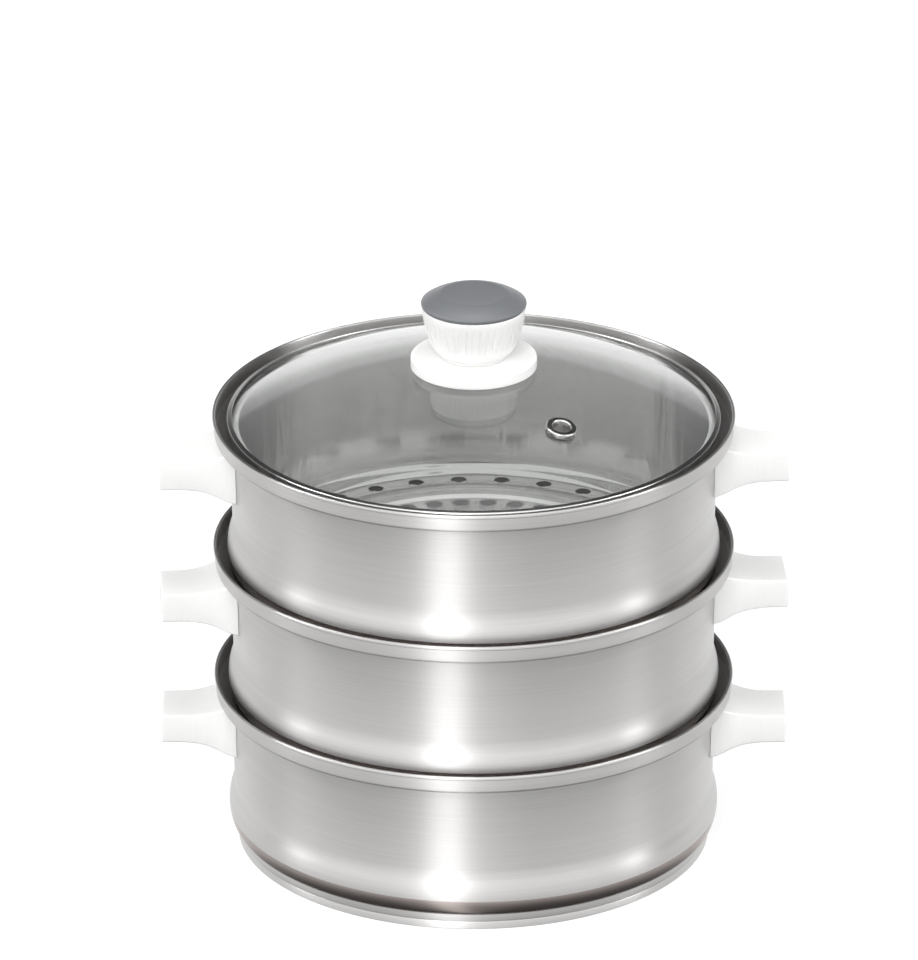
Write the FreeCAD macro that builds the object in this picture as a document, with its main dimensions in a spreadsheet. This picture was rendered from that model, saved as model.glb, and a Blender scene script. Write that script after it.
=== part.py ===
import FreeCAD, Part
import os
import Sketcher

# Food steamer: three stacking steel tiers with plastic handles, and a domed glass lid with a fluted knob.
# Millimetres. The origin is the centre of the lowest tier's bottom ring, +Z is up, the handles lie along X
# and the user stands at -Y. The tiers and the lid are stacked.

Vector = FreeCAD.Vector
Rotation = FreeCAD.Rotation
Placement = FreeCAD.Placement

# Driving sizes
SIZES = [
    # Tier shell, a spun sheet
    ("tier_height", 88.0, "rim above the bottom ring"),
    ("rim_radius", 130.0, "outside of the rolled hem"),
    ("hem_height", 1.8, "height of the hem"),
    ("hem_round", 0.7, "broken edge of the hem"),
    ("sheet_wall", 0.8, "sheet thickness"),
    ("seat_radius", 128.4, "inside of the band under the rim"),
    ("ledge_drop", 8.6, "ledge below the rim"),
    ("band_round", 0.8, "outer bend between ledge and band"),
    ("lip_round", 1.6, "bend between ledge and wall, on the inside"),
    ("wall_radius", 121.2, "outside of the wall under the ledge"),
    ("waist_radius", 120.3, "outside of the wall at its narrowest"),
    ("waist_height", 33.0, "height of the waist"),
    ("bulge_radius", 122.8, "outside of the bulge at the foot"),
    ("bulge_height", 13.5, "height of the bulge"),
    ("roll_radius", 5.5, "roll under the bulge"),
    ("ring_radius", 118.3, "outside of the bottom ring"),
    ("seat_gap", 0.3, "clearance between stacked pieces"),
    ("fit_gap", 0.15, "clearance between pieces of one tier"),
    # How far each tier is turned about Z, in degrees
    ("lower_turn", 0.0, "lower tier"),
    ("middle_turn", 3.4, "middle tier"),
    ("upper_turn", 2.1, "upper tier"),
    # Floor plates
    ("plateau_radius", 84.0, "middle panel of the floor"),
    ("plateau_run", 2.0, "width of the step round the panel"),
    ("step_radius", 110.5, "foot of the outer step"),
    ("step_run", 3.0, "width of the outer step"),
    ("flange_round", 2.0, "bend at the floor's edge"),
    ("deep_panel_level", 6.0, "upper floor, middle panel"),
    ("deep_field_level", 7.6, "upper floor, outer field"),
    ("deep_edge_level", 13.6, "upper floor, edge"),
    ("panel_level", 16.0, "middle and lower floor, middle panel"),
    ("field_level", 17.6, "middle and lower floor, outer field"),
    ("edge_level", 23.2, "middle and lower floor, edge"),
    # Rings of steam holes: radius, number and angle of the first from the back, in degrees
    ("coarse_hole_radius", 4.0, "holes of the upper floor"),
    ("coarse_outer_ring", 104.5, "ring radius"),
    ("coarse_outer_count", 30, "holes"),
    ("coarse_outer_start", 10.0, "first hole"),
    ("coarse_panel_ring", 78.5, "ring radius"),
    ("coarse_panel_count", 36, "holes"),
    ("coarse_panel_start", 7.5, "first hole"),
    ("coarse_middle_ring", 61.5, "ring radius"),
    ("coarse_middle_count", 16, "holes"),
    ("coarse_middle_start", -2.5, "first hole"),
    ("coarse_inner_ring", 43.0, "ring radius"),
    ("coarse_inner_count", 12, "holes"),
    ("coarse_inner_start", 9.0, "first hole"),
    ("coarse_heart_ring", 23.0, "ring radius"),
    ("coarse_heart_count", 6, "holes"),
    ("coarse_heart_start", 4.0, "first hole"),
    ("fine_hole_radius", 2.35, "holes of the lower floor"),
    ("fine_outer_ring", 105.5, "ring radius"),
    ("fine_outer_count", 36, "holes"),
    ("fine_outer_start", 0.5, "first hole"),
    ("fine_panel_ring", 80.0, "ring radius"),
    ("fine_panel_count", 36, "holes"),
    ("fine_panel_start", 0.5, "first hole"),
    ("fine_middle_ring", 63.0, "ring radius"),
    ("fine_middle_count", 30, "holes"),
    ("fine_middle_start", -13.0, "first hole"),
    ("fine_inner_ring", 48.0, "ring radius"),
    ("fine_inner_count", 24, "holes"),
    ("fine_inner_start", -17.5, "first hole"),
    ("fine_heart_ring", 31.0, "ring radius"),
    ("fine_heart_count", 12, "holes"),
    ("fine_heart_start", 6.0, "first hole"),
    # Steam tube
    ("tube_radius", 11.8, "outside"),
    ("tube_top_drop", 22.0, "lip below the rim"),
    ("tube_lip", 0.5, "how far the lip stands out"),
    ("tube_lip_height", 1.6, "height of the lip"),
    ("tube_flange_radius", 16.5, "flange under the floor"),
    # Handles
    ("handle_reach", 156.5, "end of the handle from the axis"),
    ("handle_width", 31.5, "width at the end"),
    ("handle_thickness", 14.7, "thickness at the end"),
    ("handle_drop", 18.8, "top face below the rim"),
    ("handle_corner", 4.6, "rounding along the handle"),
    ("handle_end_round", 1.6, "rounding at the end"),
    ("root_width", 46.0, "width at the wall"),
    ("root_rise", 7.0, "root above the handle's top face"),
    ("root_sag", 5.6, "root below the handle's underside"),
    ("root_sink", 4.0, "loft's start inside the wall, trimmed away"),
    # Handle screws, two to a handle
    ("screw_height", 66.0, "above the bottom ring"),
    ("screw_splay", 6.2, "angle from the handle's axis, in degrees"),
    ("screw_radius", 1.95, "shank"),
    ("screw_clearance", 0.1, "round the shank"),
    ("screw_length", 13.0, "shank"),
    ("screw_head_radius", 3.7, "head"),
    ("screw_crown_radius", 2.4, "top of the head"),
    ("screw_head_height", 1.9, "head"),
    # Lid
    ("lid_radius", 122.9, "outside of the steel band"),
    ("lid_band_height", 5.9, "upright part of the band"),
    ("lid_lip_reach", 3.4, "lip over the glass, inward"),
    ("lid_lip_rise", 1.2, "lip above the band"),
    ("lid_foot_reach", 7.0, "lip under the glass, inward"),
    ("glass_thickness", 4.0, "measured upright"),
    ("glass_rise", 29.9, "crown of the glass above its edge"),
    ("glass_gap", 0.5, "between glass and band"),
    ("glass_bore", 3.6, "middle hole"),
    ("vent_ring_place", 73.0, "vent hole from the axis"),
    ("vent_angle", 36.0, "vent hole from the front, in degrees"),
    ("vent_hole_radius", 5.2, "hole in the glass"),
    ("eyelet_bore", 4.3, "steam hole"),
    ("eyelet_wall", 0.6, "barrel of the eyelet"),
    ("eyelet_flange_radius", 7.7, "flange on the glass"),
    ("eyelet_flange_height", 1.5, "flange on the glass"),
    ("vent_ring_radius", 7.4, "ring under the glass"),
    ("vent_ring_height", 1.2, "ring under the glass"),
    # Knob
    ("collar_radius", 31.3, "collar on the glass"),
    ("collar_edge", 6.0, "height of its edge"),
    ("collar_round", 1.6, "rounding on its edge"),
    ("collar_top_radius", 17.0, "flat under the knob"),
    ("collar_height", 4.4, "flat above the crown of the glass"),
    ("knob_waist_radius", 15.7, "knob at the collar"),
    ("knob_foot_radius", 20.6, "foot of the flutes"),
    ("knob_foot_height", 4.8, "foot of the flutes above the collar"),
    ("knob_belly_radius", 23.3, "belly of the knob"),
    ("knob_belly_height", 12.0, "belly above the collar"),
    ("knob_top_radius", 25.9, "knob under its cap"),
    ("knob_height", 26.3, "knob above the collar"),
    ("flute_count", 36, "flutes round the knob"),
    ("flute_depth", 0.7, "depth of a flute"),
    ("flute_share", 0.36, "half width of a flute over the flute spacing"),
    ("flute_margin", 3.0, "plain band above the flutes"),
    ("cap_radius", 26.2, "widest part of the cap"),
    ("cap_height", 6.4, "cap"),
    ("cap_crown_radius", 16.4, "dished top of the cap"),
    ("cap_spigot_radius", 21.0, "spigot in the knob"),
    ("cap_spigot_height", 1.6, "spigot in the knob"),
    ("insert_radius", 3.9, "threaded insert"),
    ("insert_bore", 2.15, "thread"),
    ("insert_length", 14.0, "threaded insert"),
    ("knob_screw_radius", 2.0, "shank"),
    ("knob_screw_head_radius", 4.6, "head"),
    ("knob_screw_head_height", 2.6, "head"),
    ("knob_screw_reach", 10.0, "thread in the insert"),
    ("washer_radius", 9.0, "washer under the glass"),
    ("washer_thickness", 1.2, "washer"),
    ("seal_radius", 8.0, "seal under the glass"),
    ("seal_thickness", 1.5, "seal"),
]

doc = FreeCAD.newDocument("food_steamer")
sheet = doc.addObject("Spreadsheet::Sheet", "dim")
for row, (alias, size, meaning) in enumerate(SIZES, start=1):
    sheet.set(f"A{row}", meaning)
    sheet.set(f"B{row}", str(size))
    sheet.setAlias(f"B{row}", alias)
doc.recompute()

# Levels and radii that follow from the driving sizes
LEDGE = "(dim.tier_height - dim.ledge_drop)"
LEDGE_UNDERSIDE = f"({LEDGE} - dim.sheet_wall)"
INNER_WALL = "(dim.wall_radius - dim.sheet_wall)"
ROLL_CENTRE = "(dim.bulge_radius - dim.roll_radius)"
RING_INSIDE = "(dim.ring_radius - dim.sheet_wall)"
INNER_ROLL = "(dim.roll_radius - dim.sheet_wall)"
FLEX_RADIUS = "((dim.bulge_radius + dim.waist_radius) / 2)"
# A tier stands on the rounded edge of the ledge below it with the roll of its foot.
PITCH = (
    f"({LEDGE} - dim.lip_round - dim.bulge_height"
    " + sqrt((dim.roll_radius + dim.lip_round + dim.seat_gap)^2"
    f" - ({INNER_WALL} + dim.lip_round - {ROLL_CENTRE})^2))"
)
FLANGE_RADIUS = f"({FLEX_RADIUS} - dim.sheet_wall - dim.fit_gap)"
FLANGE_FOOT = (
    f"(dim.bulge_height + dim.fit_gap - sqrt({INNER_ROLL}^2 - ({FLANGE_RADIUS} - {ROLL_CENTRE})^2))"
)
HANDLE_TOP = "(dim.tier_height - dim.handle_drop)"
SCREW_SEAT = (
    f"({INNER_WALL} - dim.fit_gap - (dim.wall_radius - dim.waist_radius)"
    f" * ({LEDGE_UNDERSIDE} - dim.screw_height) / ({LEDGE_UNDERSIDE} - dim.waist_height))"
)
LID_BASE = f"(2 * {PITCH} + {LEDGE} + dim.seat_gap)"
GLASS_RADIUS = "(dim.lid_radius - dim.sheet_wall - dim.glass_gap)"
GLASS_FOOT = "(dim.sheet_wall + dim.fit_gap)"
GLASS_CURVE = f"(({GLASS_RADIUS}^2 + dim.glass_rise^2) / (2 * dim.glass_rise))"
CROWN_UNDER = f"({GLASS_FOOT} + dim.glass_rise)"
CROWN = f"({CROWN_UNDER} + dim.glass_thickness)"
COLLAR_TOP = f"({CROWN} + dim.collar_height)"
KNOB_TOP = f"({COLLAR_TOP} + dim.knob_height)"


def value(expression):
    """The number that an expression on the sheet gives."""
    return float(sheet.evalExpression(expression))


def dome(radius, crown):
    """Height of the glass curve at a radius, for a curve whose crown is given."""
    return f"({crown} - {GLASS_CURVE} + sqrt({GLASS_CURVE}^2 - ({radius})^2))"


def roll_point(radius, ring, share):
    """A point on the roll under the bulge. Share runs from 1 at the crease above the ring to 0 at the bulge."""
    angle = f"({share} * acos(({ring} - {ROLL_CENTRE}) / {radius}))"
    return f"{ROLL_CENTRE} + {radius} * cos{angle}", f"dim.bulge_height - {radius} * sin{angle}"


def new_body(node):
    body = doc.addObject("PartDesign::Body", node)
    body.Label = node
    return body


def origin_feature(body, role):
    return [f for f in body.Origin.OriginFeatures if f.Role == role][0]


def new_sketch(body, name, plane, offset=None):
    """A sketch on one of the body's own planes, or at an offset from it."""
    sketch = body.newObject("Sketcher::SketchObject", name)
    sketch.AttachmentSupport = [(origin_feature(body, plane), "")]
    sketch.MapMode = "FlatFace"
    if offset:
        sketch.setExpression(".AttachmentOffset.Base.z", offset)
    return sketch


def bind_place(sketch, edge, axis, expression):
    """Hold the start of an edge at a distance from the sketch's origin that follows the sheet."""
    point = 1 if edge >= 0 else 2
    edge = abs(edge) - 1
    number = value(expression)
    kind = "DistanceX" if axis == 0 else "DistanceY"
    if expression == "0":
        sketch.addConstraint(Sketcher.Constraint("PointOnObject", edge, point, -2 if axis == 0 else -1))
        return
    if number < 0:
        index = sketch.addConstraint(Sketcher.Constraint(kind, edge, point, -1, 1, -number))
        sketch.setExpression(f"Constraints[{index}]", f"-({expression})")
        return
    index = sketch.addConstraint(Sketcher.Constraint(kind, -1, 1, edge, point, number))
    sketch.setExpression(f"Constraints[{index}]", expression)


def arc_between(start, end, radius, side):
    """An arc from start to end with its centre on the left or right of that direction."""
    chord = end - start
    reach = (radius**2 - (chord.Length / 2) ** 2) ** 0.5
    across = Vector(-chord.y, chord.x, 0).normalize()
    sign = 1 if side == "left" else -1
    centre = start + chord * 0.5 + across * (reach * sign)
    circle = Part.Circle(centre, Vector(0, 0, 1), radius)
    first, last = (start, end) if side == "left" else (end, start)
    return Part.ArcOfCircle(circle, circle.parameter(first), circle.parameter(last))


def outline(sketch, points):
    """A closed outline of lines and arcs. Each point is (x, y), or (x, y, side, radius) where an arc
    leads on to the next point, and all are expressions on the sheet."""
    places = [Vector(value(p[0]), value(p[1]), 0) for p in points]
    edges = []
    for i, point in enumerate(points):
        start, end = places[i], places[(i + 1) % len(points)]
        if len(point) == 2:
            edges.append(Part.LineSegment(start, end))
        else:
            edges.append(arc_between(start, end, value(point[3]), point[2]))
    sketch.addGeometry(edges)
    starts = [2 if len(p) == 4 and p[2] == "right" else 1 for p in points]
    joins = []
    for i in range(len(points)):
        j = (i + 1) % len(points)
        joins.append(Sketcher.Constraint("Coincident", i, 3 - starts[i], j, starts[j]))
    sketch.addConstraint(joins)
    for i, point in enumerate(points):
        signed = i + 1 if starts[i] == 1 else -(i + 1)
        bind_place(sketch, signed, 0, point[0])
        bind_place(sketch, signed, 1, point[1])
        if len(point) == 4:
            index = sketch.addConstraint(Sketcher.Constraint("Radius", i, value(point[3])))
            sketch.setExpression(f"Constraints[{index}]", point[3])


def revolve(body, points, cut=False):
    """Turn an outline in the XZ plane, given as radius and height, about the body's Z axis."""
    sketch = new_sketch(body, body.Name + "_profile", "XZ_Plane")
    outline(sketch, points)
    kind = "PartDesign::Groove" if cut else "PartDesign::Revolution"
    feature = body.newObject(kind, body.Name + ("_trim" if cut else "_turned"))
    feature.Profile = sketch
    feature.ReferenceAxis = (sketch, ["V_Axis"])
    feature.Angle = 360
    return feature


def pattern_round(body, name, features, count):
    """Repeat features evenly round the body's Z axis."""
    pattern = body.newObject("PartDesign::PolarPattern", name)
    pattern.Originals = features
    pattern.Axis = (origin_feature(body, "Z_Axis"), [""])
    pattern.Angle = 360
    pattern.setExpression("Occurrences", count)
    body.Tip = pattern
    return pattern


def punch_ring(body, group, hole_radius):
    """Punch one ring of holes through a floor. There are dozens, so each is an eight-sided hole."""
    sketch = new_sketch(body, f"{body.Name}_{group}_hole", "XY_Plane")
    around = f"(90 - dim.{group}_start)"
    corners = []
    for k in range(8):
        corner = f"({around} + {22.5 + 45 * k})"
        x = f"dim.{group}_ring * cos{around} + {hole_radius} * cos{corner}"
        y = f"dim.{group}_ring * sin{around} + {hole_radius} * sin{corner}"
        corners.append((x, y))
    outline(sketch, corners)
    pocket = body.newObject("PartDesign::Pocket", f"{body.Name}_{group}_punch")
    pocket.Profile = sketch
    pocket.Type = "ThroughAll"
    pocket.Midplane = True
    pattern_round(body, f"{body.Name}_{group}_holes", [pocket], f"dim.{group}_count")


def radial_bore(body, name, sign, radius, depth):
    """Drill outward from the axis at the height and splay of a handle screw."""
    sketch = new_sketch(body, name + "_circle", "YZ_Plane")
    sketch.AttachmentOffset = Placement(Vector(0, 0, 0), Rotation(Vector(0, 1, 0), sign * 6.0))
    sketch.setExpression(".AttachmentOffset.Rotation.Angle", f"{sign} * dim.screw_splay * 1 deg")
    centre = Vector(0, value("dim.screw_height"), 0)
    circle = sketch.addGeometry(Part.Circle(centre, Vector(0, 0, 1), value(radius)))
    sketch.addConstraint(Sketcher.Constraint("PointOnObject", circle, 3, -2))
    height = sketch.addConstraint(Sketcher.Constraint("DistanceY", -1, 1, circle, 3, centre.y))
    sketch.setExpression(f"Constraints[{height}]", "dim.screw_height")
    size = sketch.addConstraint(Sketcher.Constraint("Radius", circle, value(radius)))
    sketch.setExpression(f"Constraints[{size}]", radius)
    bore = body.newObject("PartDesign::Pocket", name)
    bore.Profile = sketch
    bore.Type = "Length"
    bore.setExpression("Length", depth)
    bore.Reversed = True
    return bore


def place(part, base, turn="0"):
    """Stand a piece at a height and turn it about Z, both following the sheet."""
    part.Placement = Placement(Vector(0, 0, 0), Rotation(Vector(0, 0, 1), 1.0))
    part.setExpression(".Placement.Base.z", base)
    part.setExpression(".Placement.Rotation.Angle", f"({turn}) * 1 deg")


# Tiers


def build_shell(node):
    """Spun wall with a hemmed rim, a band and ledge for what stands on it, a waist, a bulged foot
    rolled in to a plain ring, and the screw holes of both handles. There are three, so the bends are
    short straight stretches."""
    band = "(dim.seat_radius + dim.sheet_wall)"
    lip_side = "dim.lip_round * (1 - sqrt(0.5))"
    body = new_body(node)
    revolve(
        body,
        [
            ("dim.ring_radius", "0"),
            *(roll_point("dim.roll_radius", "dim.ring_radius", share) for share in ("1", "2 / 3", "1 / 3")),
            ("dim.bulge_radius", "dim.bulge_height"),
            ("dim.waist_radius", "dim.waist_height"),
            ("dim.wall_radius", LEDGE_UNDERSIDE),
            (f"{band} - dim.band_round", LEDGE_UNDERSIDE),
            (band, f"{LEDGE_UNDERSIDE} + dim.band_round"),
            (band, "dim.tier_height - dim.hem_height"),
            ("dim.rim_radius", "dim.tier_height - dim.hem_height"),
            ("dim.rim_radius", "dim.tier_height - dim.hem_round"),
            ("dim.rim_radius - dim.hem_round", "dim.tier_height"),
            ("dim.seat_radius", "dim.tier_height"),
            ("dim.seat_radius", LEDGE),
            (f"{INNER_WALL} + dim.lip_round", LEDGE),
            (f"{INNER_WALL} + {lip_side}", f"{LEDGE} - {lip_side}"),
            (INNER_WALL, f"{LEDGE} - dim.lip_round"),
            ("dim.waist_radius - dim.sheet_wall", "dim.waist_height"),
            ("dim.bulge_radius - dim.sheet_wall", "dim.bulge_height"),
            roll_point(INNER_ROLL, RING_INSIDE, "1 / 2"),
            roll_point(INNER_ROLL, RING_INSIDE, "1"),
            (RING_INSIDE, "0"),
        ],
    )
    clear = "dim.screw_radius + dim.screw_clearance"
    bores = [
        radial_bore(body, f"{node}_screw_hole_{i}", sign, clear, "dim.rim_radius")
        for i, sign in enumerate((-1, 1))
    ]
    pattern_round(body, f"{node}_screw_holes", bores, "2")
    return body


def step_shift(rise, run):
    """How far a step's lower skin lies outside its upper one, for an even sheet."""
    return f"(dim.sheet_wall * (sqrt(({run})^2 + ({rise})^2) - ({run})) / ({rise}))"


def build_floor(node, panel, field, edge, rings, hole_radius, bore=None):
    """Pressed plate: a middle panel, a raised field, an outer step and a flange that stands in the foot."""
    low_shift = step_shift(f"{field} - {panel}", "dim.plateau_run")
    high_shift = step_shift(f"{edge} - {field}", "dim.step_run")
    skin = "dim.sheet_wall"
    body = new_body(node)
    revolve(
        body,
        [
            (bore or "0", panel),
            (bore or "0", f"{panel} - {skin}"),
            (f"dim.plateau_radius + {low_shift}", f"{panel} - {skin}"),
            (f"dim.plateau_radius + dim.plateau_run + {low_shift}", f"{field} - {skin}"),
            (f"dim.step_radius + {high_shift}", f"{field} - {skin}"),
            (f"dim.step_radius + dim.step_run + {high_shift}", f"{edge} - {skin}"),
            (f"{FLANGE_RADIUS} - dim.flange_round", f"{edge} - {skin}"),
            (f"{FLANGE_RADIUS} - {skin}", f"{edge} - dim.flange_round"),
            (f"{FLANGE_RADIUS} - {skin}", FLANGE_FOOT),
            (FLANGE_RADIUS, FLANGE_FOOT),
            (FLANGE_RADIUS, f"{edge} - dim.flange_round"),
            (f"{FLANGE_RADIUS} - dim.flange_round", edge),
            ("dim.step_radius + dim.step_run", edge),
            ("dim.step_radius", field),
            ("dim.plateau_radius + dim.plateau_run", field),
            ("dim.plateau_radius", panel),
        ],
    )
    for ring in rings:
        punch_ring(body, ring, hole_radius)
    return body


def build_tube(node):
    """Steam tube with a rolled lip, let through the floor and flanged under it."""
    underside = "(dim.panel_level - dim.sheet_wall)"
    top = "(dim.tier_height - dim.tube_top_drop)"
    body = new_body(node)
    revolve(
        body,
        [
            ("dim.tube_radius - dim.sheet_wall", f"{underside} - dim.sheet_wall"),
            ("dim.tube_flange_radius", f"{underside} - dim.sheet_wall"),
            ("dim.tube_flange_radius", underside),
            ("dim.tube_radius", underside),
            ("dim.tube_radius", f"{top} - dim.tube_lip_height"),
            ("dim.tube_radius + dim.tube_lip", f"{top} - dim.tube_lip_height * 0.6"),
            ("dim.tube_radius + dim.tube_lip", f"{top} - dim.tube_lip_height * 0.3"),
            ("dim.tube_radius", top),
            ("dim.tube_radius - dim.sheet_wall", top),
        ],
    )
    return body


# Where the handle's sections stand, from the root to the end, how much of the root's flare is left,
# and how much of the rounding at the end is taken off all round
HANDLE_SECTIONS = [
    (0.0, 1.0, 0.0),
    (0.16, 0.86, 0.0),
    (0.36, 0.36, 0.0),
    (0.58, 0.08, 0.0),
    (0.94, 0.0, 0.0),
    (0.985, 0.0, 0.35),
    (1.0, 0.0, 1.0),
]


def cushion_section(sketch, half_width, top, bottom, corner):
    """A rectangle whose corners are two short sides each, symmetric about the sketch's upright axis."""
    cut = f"({corner} * (1 - sqrt(0.5)))"
    right = [
        (f"{half_width} - {corner}", bottom),
        (f"{half_width} - {cut}", f"{bottom} + {cut}"),
        (half_width, f"{bottom} + {corner}"),
        (half_width, f"{top} - {corner}"),
        (f"{half_width} - {cut}", f"{top} - {cut}"),
        (f"{half_width} - {corner}", top),
    ]
    left = [(f"-({across})", height) for across, height in reversed(right)]
    outline(sketch, right + left)


def build_handle(node):
    """Moulded grip lofted from a flared root, trimmed to the wall it is screwed to."""
    body = new_body(node)
    root = f"({INNER_WALL} - dim.root_sink)"
    sketches = []
    for i, (along, flare, drawn_in) in enumerate(HANDLE_SECTIONS):
        offset = f"{root} + {along} * (dim.handle_reach - {root})"
        sketch = new_sketch(body, f"{node}_section_{i}", "YZ_Plane", offset)
        less = f"{drawn_in} * dim.handle_end_round"
        half = f"((dim.handle_width + {flare} * (dim.root_width - dim.handle_width)) / 2 - {less})"
        top = f"({HANDLE_TOP} + {flare} * dim.root_rise - {less})"
        bottom = f"({HANDLE_TOP} - dim.handle_thickness - {flare} * dim.root_sag + {less})"
        cushion_section(sketch, half, top, bottom, "dim.handle_corner")
        sketches.append(sketch)
    loft = body.newObject("PartDesign::AdditiveLoft", node + "_loft")
    loft.Profile = sketches[-1]
    loft.Sections = sketches[-2::-1]
    loft.Ruled = True
    doc.recompute()
    waist, wall = "dim.waist_radius + dim.fit_gap", "dim.wall_radius + dim.fit_gap"
    behind = f"({root} - 2 * dim.root_sink)"
    revolve(
        body,
        [
            (behind, "dim.waist_height"),
            (waist, "dim.waist_height"),
            (wall, LEDGE_UNDERSIDE),
            (wall, "dim.tier_height"),
            (behind, "dim.tier_height"),
        ],
        cut=True,
    )
    radius = "dim.screw_radius + dim.screw_clearance"
    depth = f"{SCREW_SEAT} + dim.screw_length + dim.screw_clearance"
    for i, sign in enumerate((-1, 1)):
        body.Tip = radial_bore(body, f"{node}_bore_{i}", sign, radius, depth)
    return body


def build_screws(node):
    """Pan-head screws from inside the wall into both handles, one group of separate solids."""
    screws = []
    for i, turn in enumerate((-1, 1, 179, 181)):
        splay = value("dim.screw_splay")
        angle = turn * splay if abs(turn) == 1 else 180 + (turn - 180) * splay
        shank = doc.addObject("Part::Cylinder", f"{node}_shank_{i}")
        shank.setExpression("Radius", "dim.screw_radius")
        shank.setExpression("Height", "dim.screw_length")
        head = doc.addObject("Part::Cone", f"{node}_head_{i}")
        head.setExpression("Radius1", "dim.screw_crown_radius")
        head.setExpression("Radius2", "dim.screw_head_radius")
        head.setExpression("Height", "dim.screw_head_height")
        head.setExpression(".Placement.Base.z", "-dim.screw_head_height")
        screw = doc.addObject("Part::Fuse", f"{node}_{i}")
        screw.Base = shank
        screw.Tool = head
        outward = Rotation(Vector(0, 0, 1), angle) * Rotation(Vector(0, 1, 0), 90)
        seat = Vector(value(SCREW_SEAT), 0, 0)
        height = Vector(0, 0, value("dim.screw_height"))
        screw.Placement = Placement(Rotation(Vector(0, 0, 1), angle).multVec(seat) + height, outward)
        screws.append(screw)
    group = doc.addObject("Part::Compound", node)
    group.Label = node
    group.Links = screws
    return group


nodes = []
FINE_RINGS = ["fine_outer", "fine_panel", "fine_middle", "fine_inner", "fine_heart"]
COARSE_RINGS = ["coarse_outer", "coarse_panel", "coarse_middle", "coarse_inner", "coarse_heart"]
TUBE_BORE = "dim.tube_radius + dim.fit_gap"
for level, tier in enumerate(("lower", "middle", "upper")):
    if tier == "upper":
        levels = ("dim.deep_panel_level", "dim.deep_field_level", "dim.deep_edge_level")
        floor = build_floor("upper_floor", *levels, COARSE_RINGS, "dim.coarse_hole_radius")
    else:
        levels = ("dim.panel_level", "dim.field_level", "dim.edge_level")
        rings = FINE_RINGS if tier == "lower" else []
        floor = build_floor(f"{tier}_floor", *levels, rings, "dim.fine_hole_radius", TUBE_BORE)
        nodes.append(build_tube(f"{tier}_steam_tube"))
        place(nodes[-1], f"{level} * {PITCH}", f"dim.{tier}_turn")
    right = build_handle(f"{tier}_handle_right")
    left = build_handle(f"{tier}_handle_left")
    shell = build_shell(f"{tier}_shell")
    screws = build_screws(f"{tier}_handle_screws")
    for piece in (shell, floor, right, screws):
        place(piece, f"{level} * {PITCH}", f"dim.{tier}_turn")
    place(left, f"{level} * {PITCH}", f"dim.{tier}_turn + 180")
    nodes += [shell, floor, right, left, screws]

# Lid


def build_glass(node):
    """Domed glass with a middle hole and a vent hole drilled square to the surface."""
    body = new_body(node + "_dome")
    revolve(
        body,
        [
            ("dim.glass_bore", dome("dim.glass_bore", CROWN_UNDER), "right", GLASS_CURVE),
            (GLASS_RADIUS, GLASS_FOOT),
            (GLASS_RADIUS, f"{GLASS_FOOT} + dim.glass_thickness", "left", GLASS_CURVE),
            ("dim.glass_bore", dome("dim.glass_bore", CROWN)),
        ],
    )
    drill = doc.addObject("Part::Cylinder", node + "_drill")
    drill.setExpression("Radius", "dim.vent_hole_radius")
    drill.setExpression("Height", "4 * dim.glass_thickness")
    drill.Placement = vent_placement("-2 * dim.glass_thickness")
    glass = doc.addObject("Part::Cut", node)
    glass.Label = node
    glass.Base = body
    glass.Tool = drill
    return glass


def vent_placement(along="0"):
    """The vent's own frame on top of the glass: Z square to the surface, moved along it."""
    place_radius = value("dim.vent_ring_place")
    tilt = value(f"asin(dim.vent_ring_place / {GLASS_CURVE}) / 1 deg")
    upright = Rotation(Vector(0, 0, 1), value("dim.vent_angle") - 90) * Rotation(Vector(0, 1, 0), tilt)
    height = value(dome("dim.vent_ring_place", CROWN))
    foot = Rotation(Vector(0, 0, 1), value("dim.vent_angle") - 90).multVec(Vector(place_radius, 0, height))
    return Placement(foot + upright.multVec(Vector(0, 0, value(along))), upright)


def build_band(node):
    """Folded steel band: a foot under the glass, an upright wall and a lip over the glass."""
    top = "(dim.lid_band_height + dim.lid_lip_rise)"
    inside = "(dim.lid_radius - dim.sheet_wall)"
    body = new_body(node)
    revolve(
        body,
        [
            ("dim.lid_radius - dim.lid_foot_reach", "0"),
            ("dim.lid_radius - dim.sheet_wall", "0"),
            ("dim.lid_radius", "dim.sheet_wall"),
            ("dim.lid_radius", "dim.lid_band_height"),
            (inside, f"{top} - 0.3"),
            ("dim.lid_radius - dim.lid_lip_reach", f"{top} + 0.2"),
            ("dim.lid_radius - dim.lid_lip_reach", f"{top} + 0.2 - dim.sheet_wall"),
            (inside, "dim.lid_band_height - 0.2"),
            (inside, "dim.sheet_wall"),
            ("dim.lid_radius - dim.lid_foot_reach", "dim.sheet_wall"),
        ],
    )
    return body


def build_eyelet(node):
    """Steel eyelet through the vent hole, with a rounded flange on the glass."""
    barrel = "(dim.eyelet_bore + dim.eyelet_wall)"
    tail = "(dim.glass_thickness + dim.vent_ring_height)"
    body = new_body(node)
    revolve(
        body,
        [
            ("dim.eyelet_bore", f"-{tail}"),
            (barrel, f"-{tail}"),
            (barrel, "dim.fit_gap"),
            ("dim.eyelet_flange_radius", "dim.fit_gap"),
            ("dim.eyelet_flange_radius", "dim.eyelet_flange_height * 0.55"),
            ("dim.eyelet_flange_radius - 1.1", "dim.eyelet_flange_height"),
            (f"{barrel}", "dim.eyelet_flange_height"),
            ("dim.eyelet_bore", "dim.eyelet_flange_height - 0.5"),
        ],
    )
    body.Placement = vent_placement()
    return body


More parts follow.
